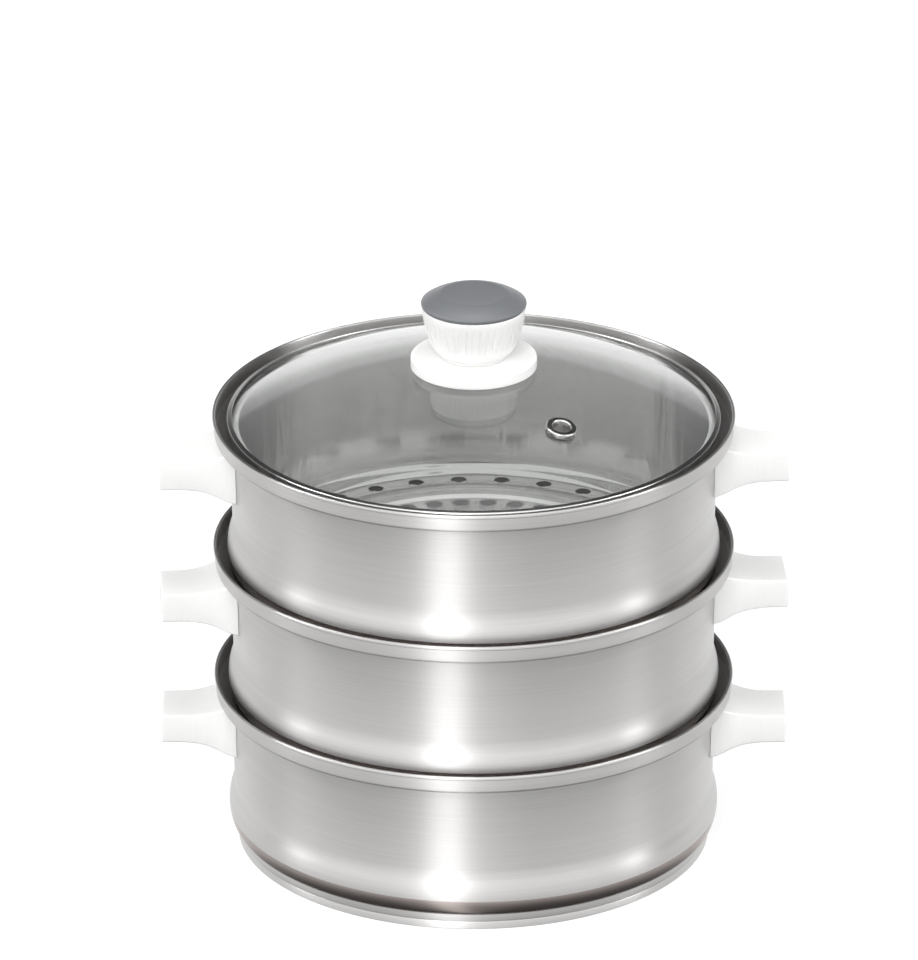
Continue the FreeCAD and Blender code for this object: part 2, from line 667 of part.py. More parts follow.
def build_vent_ring(node):
    """Ring under the glass that the eyelet is set in."""
    under = "(-dim.glass_thickness * cos(asin(dim.vent_ring_place / " + GLASS_CURVE + ")) - dim.fit_gap)"
    bore = "dim.eyelet_bore + dim.eyelet_wall + dim.fit_gap"
    body = new_body(node)
    revolve(
        body,
        [
            (bore, f"{under} - dim.vent_ring_height"),
            ("dim.vent_ring_radius", f"{under} - dim.vent_ring_height"),
            ("dim.vent_ring_radius", under),
            (bore, under),
        ],
    )
    body.Placement = vent_placement()
    return body


def build_collar(node):
    """White collar that stands on the glass by its skirt and carries the knob."""
    crown = f"({CROWN} + dim.fit_gap)"
    bore = "dim.insert_radius + dim.fit_gap"
    edge = f"({dome('dim.collar_radius', crown)} + dim.collar_edge)"
    skirt = "(dim.collar_radius - dim.collar_round)"
    body = new_body(node)
    revolve(
        body,
        [
            (bore, crown),
            (skirt, crown),
            (skirt, dome(skirt, crown)),
            ("dim.collar_radius", dome("dim.collar_radius", crown)),
            ("dim.collar_radius", f"{edge} - dim.collar_round"),
            ("dim.collar_radius - dim.collar_round * 0.3", f"{edge} - dim.collar_round * 0.3"),
            (skirt, edge),
            ("dim.collar_top_radius", COLLAR_TOP),
            (bore, COLLAR_TOP),
        ],
    )
    return body


def flute_sketch(body, name, radius, level):
    """Three-sided section of a flute, its edge pointing at the axis."""
    sketch = new_sketch(body, name, "XY_Plane", level)
    half = f"({radius} * 2 * pi / dim.flute_count * dim.flute_share)"
    outline(
        sketch,
        [
            (f"{radius} - dim.flute_depth", "0"),
            (f"{radius} + dim.flute_depth", f"-{half}"),
            (f"{radius} + dim.flute_depth", half),
        ],
    )
    return sketch


def build_knob(node):
    """Fluted cup, wider at the top, with a blind bore for the insert and a seat for the cap."""
    bore = "dim.insert_radius + dim.fit_gap"
    spigot = "dim.cap_spigot_radius + dim.fit_gap"
    seat = f"({KNOB_TOP} - dim.cap_spigot_height - dim.fit_gap)"
    blind = f"({CROWN} + dim.fit_gap + dim.insert_length + dim.fit_gap)"
    foot = f"({COLLAR_TOP} + dim.knob_foot_height)"
    belly = f"({COLLAR_TOP} + dim.knob_belly_height)"
    head_radius = (
        "(dim.knob_top_radius - (dim.knob_top_radius - dim.knob_belly_radius) * dim.flute_margin"
        " / (dim.knob_height - dim.knob_belly_height))"
    )
    body = new_body(node)
    revolve(
        body,
        [
            (bore, COLLAR_TOP),
            ("dim.knob_waist_radius", COLLAR_TOP),
            ("dim.knob_foot_radius", foot),
            ("dim.knob_belly_radius", belly),
            ("dim.knob_top_radius", KNOB_TOP),
            (spigot, KNOB_TOP),
            (spigot, seat),
            ("0", seat),
            ("0", blind),
            (bore, blind),
        ],
    )
    low = flute_sketch(body, node + "_flute_foot", "dim.knob_foot_radius", foot)
    middle = flute_sketch(body, node + "_flute_belly", "dim.knob_belly_radius", belly)
    high = flute_sketch(body, node + "_flute_head", head_radius, f"({KNOB_TOP} - dim.flute_margin)")
    flute = body.newObject("PartDesign::SubtractiveLoft", node + "_flute")
    flute.Profile = low
    flute.Sections = [middle, high]
    flute.Ruled = True
    pattern_round(body, node + "_flutes", [flute], "dim.flute_count")
    return body


def build_cap(node):
    """Cap with a rolled edge and a low crown, let into the knob by a spigot."""
    top = f"({KNOB_TOP} + dim.cap_height)"
    body = new_body(node)
    revolve(
        body,
        [
            ("0", f"{KNOB_TOP} - dim.cap_spigot_height"),
            ("dim.cap_spigot_radius", f"{KNOB_TOP} - dim.cap_spigot_height"),
            ("dim.cap_spigot_radius", KNOB_TOP),
            ("dim.cap_radius - 0.8", KNOB_TOP),
            ("dim.cap_radius", f"{KNOB_TOP} + dim.cap_height * 0.3"),
            ("dim.cap_radius - 1.2", f"{KNOB_TOP} + dim.cap_height * 0.6"),
            ("dim.cap_crown_radius + 2.5", f"{top} - 0.7"),
            ("dim.cap_crown_radius - 3.0", f"{top} - 0.1"),
            ("0", top),
        ],
    )
    return body


def build_insert(node):
    """Brass insert for the knob screw, in the knob and its collar."""
    foot = f"({CROWN} + dim.fit_gap)"
    body = new_body(node)
    revolve(
        body,
        [
            ("dim.insert_bore", foot),
            ("dim.insert_radius", foot),
            ("dim.insert_radius", f"{foot} + dim.insert_length"),
            ("dim.insert_bore", f"{foot} + dim.insert_length"),
        ],
    )
    return body


SEAL_TOP = f"({dome('dim.seal_radius', CROWN_UNDER)} - dim.fit_gap)"
WASHER_TOP = f"({SEAL_TOP} - dim.seal_thickness)"
HEAD_TOP = f"({WASHER_TOP} - dim.washer_thickness)"


def build_washer(node, outside, bore, top, thickness):
    """Plain ring under the glass."""
    body = new_body(node)
    revolve(
        body,
        [
            (bore, f"{top} - {thickness}"),
            (outside, f"{top} - {thickness}"),
            (outside, top),
            (bore, top),
        ],
    )
    return body


def build_knob_screw(node):
    """Screw from under the glass into the knob's insert."""
    tip = f"({CROWN} + dim.fit_gap + dim.knob_screw_reach)"
    body = new_body(node)
    revolve(
        body,
        [
            ("0", f"{HEAD_TOP} - dim.knob_screw_head_height"),
            ("dim.knob_screw_head_radius - 1.2", f"{HEAD_TOP} - dim.knob_screw_head_height"),
            ("dim.knob_screw_head_radius", f"{HEAD_TOP} - dim.knob_screw_head_height * 0.5"),
            ("dim.knob_screw_head_radius", HEAD_TOP),
            ("dim.knob_screw_radius", HEAD_TOP),
            ("dim.knob_screw_radius", tip),
            ("0", tip),
        ],
    )
    return body


SCREW_BORE = "dim.knob_screw_radius + dim.fit_gap"
lid_pieces = [
    build_band("lid_rim"),
    build_collar("knob_collar"),
    build_knob("knob_body"),
    build_cap("knob_cap"),
    build_insert("knob_insert"),
    build_washer("knob_seal", "dim.seal_radius", SCREW_BORE, SEAL_TOP, "dim.seal_thickness"),
    build_washer("knob_washer", "dim.washer_radius", SCREW_BORE, WASHER_TOP, "dim.washer_thickness"),
    build_knob_screw("knob_screw"),
    build_glass("lid_glass"),
]
for piece in lid_pieces:
    piece.setExpression(".Placement.Base.z", LID_BASE)
vent_pieces = [build_eyelet("vent_eyelet"), build_vent_ring("vent_ring")]
for piece in vent_pieces:
    piece.setExpression(".Placement.Base.z", f"{LID_BASE} + {dome('dim.vent_ring_place', CROWN)}")
nodes += lid_pieces + vent_pieces

doc.recompute()

# Checks, then one STEP file for each piece
for item in doc.Objects:
    if "Invalid" in item.State or "Error" in item.State:
        raise RuntimeError(f"{item.Name} did not compute: {item.State}")
    if item.TypeId in ("PartDesign::Pocket", "PartDesign::Groove", "PartDesign::SubtractiveLoft"):
        if item.Shape.Volume > item.BaseFeature.Shape.Volume - 1e-3:
            raise RuntimeError(f"{item.Name} cuts nothing")
labels = [node.Label for node in nodes]
if len(set(labels)) != len(labels):
    raise RuntimeError("two pieces share a name")
for node in nodes:
    if node.Shape.isNull() or not node.Shape.isValid():
        raise RuntimeError(f"{node.Label} has no sound shape")

os.makedirs("parts", exist_ok=True)
for node in nodes:
    node.Shape.exportStep(f"parts/{node.Label}.step")
    box = node.Shape.BoundBox
    solids = len(node.Shape.Solids)
    print(f"{node.Label}: {solids} solids, volume {node.Shape.Volume:.0f}, z {box.ZMin:.2f} to {box.ZMax:.2f}")
print(f"pitch {value(PITCH):.3f}, lid base {value(LID_BASE):.3f}, knob top {value(LID_BASE + ' + ' + KNOB_TOP):.3f}")
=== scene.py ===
from math import acos, asin, atan2, cos, degrees, pi, radians, sin, sqrt

import bpy
from mathutils import Matrix, Vector


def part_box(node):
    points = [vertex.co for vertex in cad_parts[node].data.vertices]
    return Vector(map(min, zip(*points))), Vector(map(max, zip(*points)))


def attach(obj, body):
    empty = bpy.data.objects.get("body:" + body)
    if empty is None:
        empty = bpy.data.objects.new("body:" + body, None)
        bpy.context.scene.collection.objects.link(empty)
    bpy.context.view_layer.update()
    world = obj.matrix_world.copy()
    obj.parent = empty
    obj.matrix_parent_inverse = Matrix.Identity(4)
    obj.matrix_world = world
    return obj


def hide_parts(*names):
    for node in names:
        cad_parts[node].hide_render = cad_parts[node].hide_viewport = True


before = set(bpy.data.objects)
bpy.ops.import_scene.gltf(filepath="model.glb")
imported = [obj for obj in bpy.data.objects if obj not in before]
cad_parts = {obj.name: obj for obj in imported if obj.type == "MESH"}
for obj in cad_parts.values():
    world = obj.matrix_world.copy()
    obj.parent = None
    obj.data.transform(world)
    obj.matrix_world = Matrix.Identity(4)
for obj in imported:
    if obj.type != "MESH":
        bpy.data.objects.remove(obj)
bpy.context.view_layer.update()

bl_info = {
    "name": "Stacking Food Steamer",
    "version": (1, 0, 0),
    "blender": (4, 5, 0),
    "location": "3D View > Sidebar > Steamer",
    "description": "Three brushed steel steamer tiers with white grips under a domed glass lid",
    "category": "Object",
}

MM = 0.001
TIERS = ("lower", "middle", "upper")
ROUND = 224
FINE_ROUND = 96


def node_base(node):
    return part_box(node)[0].z / MM


# Heights of the tiers and the lid, read from the frame, in millimetres
TIER_BASE = {tier: node_base(f"{tier}_shell") for tier in TIERS}
LID_BASE = node_base("lid_rim")
RIM_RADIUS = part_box("lower_shell")[1].y / MM
TIER_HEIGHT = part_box("lower_shell")[1].z / MM


def size(name, default, description):
    """A size in millimetres for the panel."""
    return bpy.props.FloatProperty(name=name, default=default, description=description)


def colour(name, default, description):
    """A colour as an sRGB hex value for the panel."""
    return bpy.props.StringProperty(name=name, default=default, description=description)


class TierSizes(bpy.types.PropertyGroup):
    """Sizes of a steamer tier, in millimetres."""

    height: size("Height", TIER_HEIGHT, "Rim above the bottom ring")
    rim: size("Rim radius", RIM_RADIUS, "Outside of the rolled hem")
    hem: size("Hem height", 1.8, "Height of the folded hem")
    sheet: size("Sheet", 0.8, "Thickness of the steel")
    seat: size("Seat radius", 128.4, "Inside of the band under the rim")
    ledge: size("Ledge drop", 8.6, "Ledge below the rim")
    band_bend: size("Band bend", 1.8, "Outer bend between ledge and band")
    lip: size("Lip bend", 1.6, "Bend between ledge and wall")
    wall: size("Wall radius", 121.2, "Outside of the wall under the ledge")
    waist: size("Waist radius", 120.3, "Outside of the wall at its narrowest")
    waist_height: size("Waist height", 33.0, "Height of the waist")
    bulge: size("Bulge radius", 122.8, "Outside of the bulge at the foot")
    bulge_height: size("Bulge height", 13.5, "Height of the bulge")
    brow_height: size("Brow height", 18.0, "Height at which the outside starts to roll in")
    roll: size("Roll radius", 5.5, "Roll under the bulge")
    ring: size("Ring radius", 118.3, "Outside of the bottom ring")
    panel: size("Panel radius", 84.0, "Middle panel of the floor")
    step: size("Step radius", 110.5, "Foot of the floor's outer step")
    fit: size("Fit", 0.15, "Clearance between pieces")
    tube: size("Tube radius", 11.8, "Outside of the steam tube")
    tube_drop: size("Tube drop", 22.0, "Top of the steam tube below the rim")
    coarse: size("Coarse hole radius", 4.0, "Steam holes of the upper floor")
    fine: size("Fine hole radius", 2.35, "Steam holes of the lower floor")


class HandleSizes(bpy.types.PropertyGroup):
    """Sizes of a side grip, in millimetres."""

    reach: size("Reach", 156.5, "End of the grip from the axis")
    width: size("Width", 31.5, "Width at the end")
    thick: size("Thickness", 14.7, "Thickness at the end")
    drop: size("Drop", 18.8, "Top face below the rim")
    root_width: size("Root width", 46.0, "Width at the wall")
    root_rise: size("Root rise", 7.0, "Root above the top face")
    root_sag: size("Root sag", 5.6, "Root below the underside")
    corner: size("Corner", 5.6, "Rounding along the grip")
    end: size("End rounding", 2.2, "Rounding at the end")


class LidSizes(bpy.types.PropertyGroup):
    """Sizes of the lid and its knob, in millimetres."""

    radius: size("Radius", 122.9, "Outside of the steel band")
    sheet: size("Sheet", 0.8, "Thickness of the steel band")
    gap: size("Gap", 0.5, "Clearance between glass and band")
    rise: size("Rise", 29.9, "Crown of the glass above its edge")
    glass: size("Glass", 4.0, "Thickness of the glass")
    vent_place: size("Vent place", 73.0, "Vent from the axis")
    vent_angle: size("Vent angle", 36.0, "Vent from the front, in degrees")
    collar: size("Collar radius", 31.3, "Collar on the glass")
    collar_edge: size("Collar edge", 6.0, "Height of the collar's edge")
    collar_height: size("Collar height", 4.4, "Top of the collar above the glass")
    knob_height: size("Knob height", 26.3, "Cup above the collar")
    flutes: bpy.props.IntProperty(name="Flutes", default=44, description="Flutes round the cup")
    cap: size("Cap radius", 26.2, "Widest part of the cap")
    cap_height: size("Cap height", 6.4, "Cap above the knob")


class FinishColours(bpy.types.PropertyGroup):
    """Colours of the finishes, as sRGB hex values."""

    steel: colour("Steel", "#D4D3D2", "Stainless steel")
    steel_shade: colour("Steel shade", "#C1C0BF", "Stainless steel between brush lines")
    # Painted light: both inside colours are the same steel as outside, made lighter to brighten the inside of
    # the tiers
    inside: colour("Inside", "#E6E5E4", "Spun inside of the tiers")
    inside_lines_painted_light: colour("Inside shade", "#D6D5D4", "Spun inside between spinning lines")
    # Painted shade: the tubes are the same steel, given a darker colour for the dark inside of the tier they
    # reflect
    tube: colour("Steam tube", "#A09C99", "Darker steel of the tubes")
    # Painted shade: the roll is the same steel, given a darker colour for the dark it reflects under the bulge
    roll: colour("Foot roll", "#A79E9A", "Darker steel of the roll under the bulge")
    plastic: colour("White plastic", "#F4F4F3", "Moulded polypropylene")
    cap: colour("Cap", "#6F7174", "Soft touch cap")
    seal: colour("Seal", "#C9C8C4", "Silicone under the glass")
    glass: colour("Glass", "#FBFDFC", "Tempered glass")
    stage: colour("Stage", "#FFFFFF", "Floor and backdrop")


# Small helpers for materials


def linear(hex_value):
    """An sRGB hex value as a linear colour."""
    parts = [int(hex_value[i : i + 2], 16) / 255 for i in (1, 3, 5)]
    return [p / 12.92 if p <= 0.04045 else ((p + 0.055) / 1.055) ** 2.4 for p in parts] + [1.0]


def add_node(tree, kind, inputs=None, **settings):
    """Add a node with its settings. An input is a value, an output to link, or a node whose first
    output is linked."""
    node = tree.nodes.new(kind)
    for name, setting in settings.items():
        setattr(node, name, setting)
    for name, given in (inputs or {}).items():
        socket = node.inputs[name]
        if isinstance(given, bpy.types.Node):
            given = given.outputs[0]
        if isinstance(given, bpy.types.NodeSocket):
            tree.links.new(given, socket)
        else:
            socket.default_value = given
    return node


def new_material(name):
    """An empty node material and its output node."""
    material = bpy.data.materials.new(name)
    material.use_nodes = True
    material.node_tree.nodes.clear()
    return material, add_node(material.node_tree, "ShaderNodeOutputMaterial")


def brush_lines(tree, spacing, run, seed=0.0):
    """Noise drawn out round Z: lines about spacing millimetres apart up the wall, run millimetres long."""
    coords = add_node(tree, "ShaderNodeTexCoord").outputs["Object"]
    across, along = 1 / (spacing * MM), 1 / (run * MM)
    mapped = add_node(
        tree,
        "ShaderNodeMapping",
        {"Vector": coords, "Scale": (along, along, across), "Location": (seed, seed, seed)},
    )
    noise = add_node(
        tree, "ShaderNodeTexNoise", {"Vector": mapped, "Scale": 1.0, "Detail": 3.0, "Roughness": 0.6}
    )
    return noise.outputs["Fac"]


# Materials


def round_brushed(name, shades, low, high, stretch, line, depth, streaks):
    """Stainless steel brushed or spun round Z. The brush lines run level, so that lights are drawn up and
    down, and their tone and roughness change a little from line to line. Low and high bound the
    roughness, stretch is how far lights are drawn out, line and depth are the spacing and depth of the
    brush lines, and streaks is the depth of the upright waves that drawing leaves, all in millimetres."""
    material, output = new_material(name)
    tree = material.node_tree
    lines = brush_lines(tree, line, 70)
    wide = brush_lines(tree, 7 * line, 180, 7.0)
    tone = add_node(tree, "ShaderNodeMix", {"Factor": lines}, data_type="RGBA")
    tone.inputs[6].default_value = linear(shades[0])
    tone.inputs[7].default_value = linear(shades[1])
    rough = add_node(tree, "ShaderNodeMapRange", {"Value": wide, "To Min": low, "To Max": high})
    waves = brush_lines(tree, 160, 13, 5.0)
    slow = add_node(
        tree, "ShaderNodeBump", {"Height": waves, "Strength": 1.0 if streaks else 0.0, "Distance": streaks * MM}
    )
    bump = add_node(
        tree, "ShaderNodeBump", {"Height": lines, "Strength": 0.1, "Distance": depth * MM, "Normal": slow}
    )
    tangent = add_node(tree, "ShaderNodeTangent", direction_type="RADIAL", axis="Z")
    shader = add_node(
        tree,
        "ShaderNodeBsdfPrincipled",
        {
            "Base Color": tone.outputs[2],
            "Metallic": 1.0,
            "Roughness": rough,
            "Anisotropic": stretch,
            "Anisotropic Rotation": 0.25,
            "Tangent": tangent,
            "Normal": bump,
        },
    )
    tree.links.new(shader.outputs[0], output.inputs["Surface"])
    return material


def bright_metal(name, shade, low, high, wave):
    """Metal left bright from the press: nearly a mirror, with faint marks and the slow waves of thin
    sheet, whose depth is wave in millimetres."""
    material, output = new_material(name)
    tree = material.node_tree
    lines = brush_lines(tree, 0.8, 90, 3.0)
    coords = add_node(tree, "ShaderNodeTexCoord").outputs["Object"]
    waves = add_node(tree, "ShaderNodeTexNoise", {"Vector": coords, "Scale": 1 / (38 * MM), "Detail": 1.0})
    rough = add_node(tree, "ShaderNodeMapRange", {"Value": lines, "To Min": low, "To Max": high})
    slow = add_node(
        tree, "ShaderNodeBump", {"Height": waves.outputs["Fac"], "Strength": 0.4, "Distance": wave * MM}
    )
    shader = add_node(
        tree,
        "ShaderNodeBsdfPrincipled",
        {
            "Base Color": linear(shade),
            "Metallic": 1.0,
            "Roughness": rough,
            "Normal": slow,
        },
    )
    tree.links.new(shader.outputs[0], output.inputs["Surface"])
    return material


def moulded_plastic(name, hex_value, rough_low, rough_high, grain, depth, subsurface):
    """Injection moulded plastic: an even colour, a soft gloss and the fine grain of the tool's steel."""
    material, output = new_material(name)
    tree = material.node_tree
    coords = add_node(tree, "ShaderNodeTexCoord").outputs["Object"]
    texture = add_node(tree, "ShaderNodeTexNoise", {"Vector": coords, "Scale": 1 / (grain * MM), "Detail": 2.0})
    cloud = add_node(tree, "ShaderNodeTexNoise", {"Vector": coords, "Scale": 1 / (18 * MM), "Detail": 2.0})
    rough = add_node(
        tree, "ShaderNodeMapRange", {"Value": cloud.outputs["Fac"], "To Min": rough_low, "To Max": rough_high}
    )
    tone = add_node(tree, "ShaderNodeMix", {"Factor": cloud.outputs["Fac"]}, data_type="RGBA")
    base = linear(hex_value)
    tone.inputs[6].default_value = [c * 0.97 for c in base[:3]] + [1.0]
    tone.inputs[7].default_value = base
    bump = add_node(
        tree, "ShaderNodeBump", {"Height": texture.outputs["Fac"], "Strength": 0.2, "Distance": depth * MM}
    )
    shader = add_node(
        tree,
        "ShaderNodeBsdfPrincipled",
        {
            "Base Color": tone.outputs[2],
            "Roughness": rough,
            "IOR": 1.49,
            "Subsurface Weight": subsurface,
            "Subsurface Radius": (4 * MM, 4 * MM, 4 * MM),
            "Subsurface Scale": 1.0,
            "Normal": bump,
        },
    )
    tree.links.new(shader.outputs[0], output.inputs["Surface"])
    return material


def tempered_glass(colours):
    """Clear tempered soda-lime glass. Shadow rays pass, so that the tier under the lid stays lit."""
    material, output = new_material("soda_lime_glass_tempered")
    tree = material.node_tree
    coords = add_node(tree, "ShaderNodeTexCoord").outputs["Object"]
    waves = add_node(tree, "ShaderNodeTexNoise", {"Vector": coords, "Scale": 1 / (60 * MM), "Detail": 0.0})
    bump = add_node(
        tree, "ShaderNodeBump", {"Height": waves.outputs["Fac"], "Strength": 0.15, "Distance": 0.1 * MM}
    )
    glass = add_node(
        tree,
        "ShaderNodeBsdfPrincipled",
        {
            "Base Color": linear(colours.glass),
            "Roughness": 0.0,
            "IOR": 1.5,
            "Transmission Weight": 1.0,
            "Normal": bump,
        },
    )
    clear = add_node(tree, "ShaderNodeBsdfTransparent", {"Color": (0.97, 0.98, 0.98, 1.0)})
    path = add_node(tree, "ShaderNodeLightPath")
    mix = add_node(tree, "ShaderNodeMixShader", {0: path.outputs["Is Shadow Ray"], 1: glass, 2: clear})
    tree.links.new(mix.outputs[0], output.inputs["Surface"])
    return material


def stage_paper(colours):
    """White paper sweep. The camera sees it nearly white, also through the glass, and it keeps the shadow;
    the metal sees past it to the studio's own table light."""
    material, output = new_material("white_paper_sweep")
    tree = material.node_tree
    grey, glow = 0.3, 0.78
    paper = add_node(tree, "ShaderNodeBsdfDiffuse", {"Color": (grey, grey, grey, 1.0)})
    path = add_node(tree, "ShaderNodeLightPath")
    rays = {0: path.outputs["Is Camera Ray"], 1: path.outputs["Is Transmission Ray"]}
    seen = add_node(tree, "ShaderNodeMath", rays, operation="MAXIMUM")
    strength = add_node(tree, "ShaderNodeMath", {0: seen, 1: glow}, operation="MULTIPLY")
    light = add_node(tree, "ShaderNodeEmission", {"Color": linear(colours.stage), "Strength": strength})
    both = add_node(tree, "ShaderNodeAddShader", {0: paper, 1: light})
    past = add_node(tree, "ShaderNodeBsdfTransparent")
    mix = add_node(tree, "ShaderNodeMixShader", {0: path.outputs["Is Glossy Ray"], 1: both, 2: past})
    tree.links.new(mix.outputs[0], output.inputs["Surface"])
    return material


def finishes():
    """The materials by name, made once."""
    if "white_paper_sweep" in bpy.data.materials:
        return bpy.data.materials
    colours = bpy.context.scene.steamer_colours
    steel = (colours.steel_shade, colours.steel)
    # Painted light: the inside gets lighter steel colours than the outside
    inside = (colours.inside_lines_painted_light, colours.inside)
    # Painted shade: the foot roll gets a darker steel colour than the wall
    roll = (colours.roll, colours.roll)
    # Painted shade: the tubes get a darker steel colour than the wall
    tube = (colours.tube, colours.tube)
    for name, shades, low, high, stretch, line, depth, streaks in [
        ("stainless_steel_brushed_round", steel, 0.32, 0.42, 0.88, 0.55, 0.03, 0.0),
        ("stainless_steel_spun_inside_painted_light", inside, 0.2, 0.28, 0.86, 0.7, 0.01, 0.8),
        ("stainless_steel_pressed_plate", steel, 0.07, 0.12, 0.3, 1.4, 0.004, 0.0),
        ("stainless_steel_foot_roll_painted_shade", roll, 0.2, 0.28, 0.6, 0.9, 0.01, 0.0),
        ("stainless_steel_tube_painted_shade", tube, 0.16, 0.24, 0.5, 0.9, 0.01, 0.0),
    ]:
        round_brushed(name, shades, low, high, stretch, line, depth, streaks)
    bright_metal("stainless_steel_satin", colours.steel, low=0.2, high=0.3, wave=0.0)
    bright_metal("stainless_steel_bright", colours.steel, low=0.08, high=0.15, wave=0.05)
    for name, shade, low, high, grain, depth, subsurface in [
        ("polypropylene_white", colours.plastic, 0.28, 0.38, 0.5, 0.01, 0.1),
        ("rubberised_grey", colours.cap, 0.34, 0.44, 0.35, 0.02, 0.0),
        ("silicone_seal", colours.seal, 0.5, 0.6, 0.4, 0.01, 0.1),
    ]:
        moulded_plastic(name, shade, low, high, grain, depth, subsurface)
    tempered_glass(colours)
    stage_paper(colours)
    return bpy.data.materials


def dress(piece, material, slot, body, *nodes):
    """Give a piece its material and its body, and hide the solids that it stands for."""
    if not piece.data.materials:
        piece.data.materials.append(material)
    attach(piece, body)
    if nodes:
        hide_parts(*nodes)


# Small helpers for modelling


def deselect():
    """Back to object mode with nothing selected."""
    if bpy.context.object and bpy.context.object.mode != "OBJECT":
        bpy.ops.object.mode_set(mode="OBJECT")
    bpy.ops.object.select_all(action="DESELECT")


def arc(centre, radius, start, end, steps):
    """Points of an arc in the outline plane, angles in degrees from the outward direction."""
    turns = [radians(start + (end - start) * i / steps) for i in range(steps + 1)]
    return [(centre[0] + radius * cos(a), centre[1] + radius * sin(a)) for a in turns]


def turned(name, outline, steps=ROUND, smooth=40.0):
    """Draw a closed outline of radius and height in millimetres by extruding a point, and spin it round Z."""
    deselect()
    start = outline[0]
    bpy.ops.mesh.primitive_plane_add(size=MM, location=(start[0] * MM, 0, start[1] * MM))
    piece = bpy.context.object
    piece.name = name
    piece.data.name = name
    bpy.ops.object.transform_apply(location=True)
    bpy.ops.object.mode_set(mode="EDIT")
    bpy.ops.mesh.merge(type="CENTER")
    for here, there in zip(outline, outline[1:] + outline[:1]):
        step = ((there[0] - here[0]) * MM, 0, (there[1] - here[1]) * MM)
        bpy.ops.mesh.extrude_region_move(TRANSFORM_OT_translate={"value": step})
    bpy.ops.mesh.select_all(action="SELECT")
    bpy.ops.mesh.remove_doubles(threshold=2e-6)
    bpy.ops.mesh.spin(steps=steps, angle=2 * pi, center=(0, 0, 0), axis=(0, 0, 1))
    bpy.ops.mesh.select_all(action="SELECT")
    bpy.ops.mesh.remove_doubles(threshold=2e-6)
    bpy.ops.mesh.normals_make_consistent(inside=False)
    bpy.ops.object.mode_set(mode="OBJECT")
    bpy.ops.object.shade_smooth_by_angle(angle=radians(smooth))
    return piece


def place(piece, lift=0.0, turn=0.0, whole=None):
    """Turn a piece about Z, in degrees, and lift it in millimetres, or give it a whole placement, and
    write that into its mesh."""
    deselect()
    piece.select_set(True)
    bpy.context.view_layer.objects.active = piece
    if whole is None:
        piece.matrix_world = Matrix.Translation((0, 0, lift * MM)) @ Matrix.Rotation(radians(turn), 4, "Z")
    else:
        piece.matrix_world = whole
    bpy.ops.object.transform_apply(location=True, rotation=True, scale=True)
    return piece


def copy_of(piece, name):
    """A copy of a piece with its own mesh."""
    deselect()
    piece.select_set(True)
    bpy.context.view_layer.objects.active = piece
    bpy.ops.object.duplicate()
    twin = bpy.context.object
    twin.name = name
    twin.data.name = name
    return twin


def join(pieces, name):
    """Join pieces into the first, under a new name."""
    deselect()
    for piece in pieces:
        piece.select_set(True)
    bpy.context.view_layer.objects.active = pieces[0]
    bpy.ops.object.join()
    pieces[0].name = name
    pieces[0].data.name = name
    return pieces[0]


def cut(piece, cutter):
    """Cut one piece by another and take the cutter away."""
    deselect()
    bpy.context.view_layer.objects.active = piece
    piece.select_set(True)
    knife = piece.modifiers.new("cut", "BOOLEAN")
    knife.operation = "DIFFERENCE"
    knife.solver = "EXACT"
    knife.object = cutter
    bpy.ops.object.modifier_apply(modifier=knife.name)
    bpy.data.objects.remove(cutter)
    if not piece.data.polygons:
        raise RuntimeError(f"nothing is left of {piece.name} after the cut")
    return piece


# Tiers

# Turn of each tier about the axis, in degrees
TURN = {"lower": 0.0, "middle": 3.4, "upper": 2.1}
# Heights of the middle panel, the field round it and the outer flange of each floor
FLOOR_LEVELS = {"lower": (16.0, 17.6, 23.2), "middle": (16.0, 17.6, 23.2), "upper": (6.0, 7.6, 13.6)}
# Rings of steam holes: radius, number, and angle of the first from the back, clockwise, in degrees
HOLE_RINGS = {
    "upper": [(104.5, 30, 10.0), (78.5, 36, 7.5), (61.5, 16, -2.5), (43.0, 12, 9.0), (23.0, 6, 4.0)],
    "lower": [(105.5, 36, 0.5), (80.0, 36, 0.5), (63.0, 30, -13.0), (48.0, 24, -17.5), (31.0, 12, 6.0)],
}


def foot_roll(s, steps):
    """The outside of the roll: a quarter of an oval from the bottom ring out to the brow of the bulge."""
    foot = s.bulge_height - sqrt(s.roll**2 - (s.ring - s.bulge + s.roll) ** 2)
    turns = [radians(90 - 90 * i / steps) for i in range(steps + 1)]
    return [
        (s.ring + (s.bulge - s.ring) * cos(a), s.brow_height - (s.brow_height - foot) * sin(a)) for a in turns
    ]


def foot_curve(s, skin, steps, start=None):
    """The wall from the bulge up to the waist, a bend out and a bend back, moved in by skin."""
    start = start or s.bulge_height
    fall = s.bulge - s.waist
    climb = s.waist_height - start
    radius = (fall**2 + climb**2) / (4 * fall)
    half = degrees(asin(climb / 2 / radius))
    low = arc((s.bulge - radius, start), radius - skin, 0, half, steps)
    high = arc((s.waist + radius, s.waist_height), radius + skin, 180 + half, 180, steps)
    return low + high[1:]


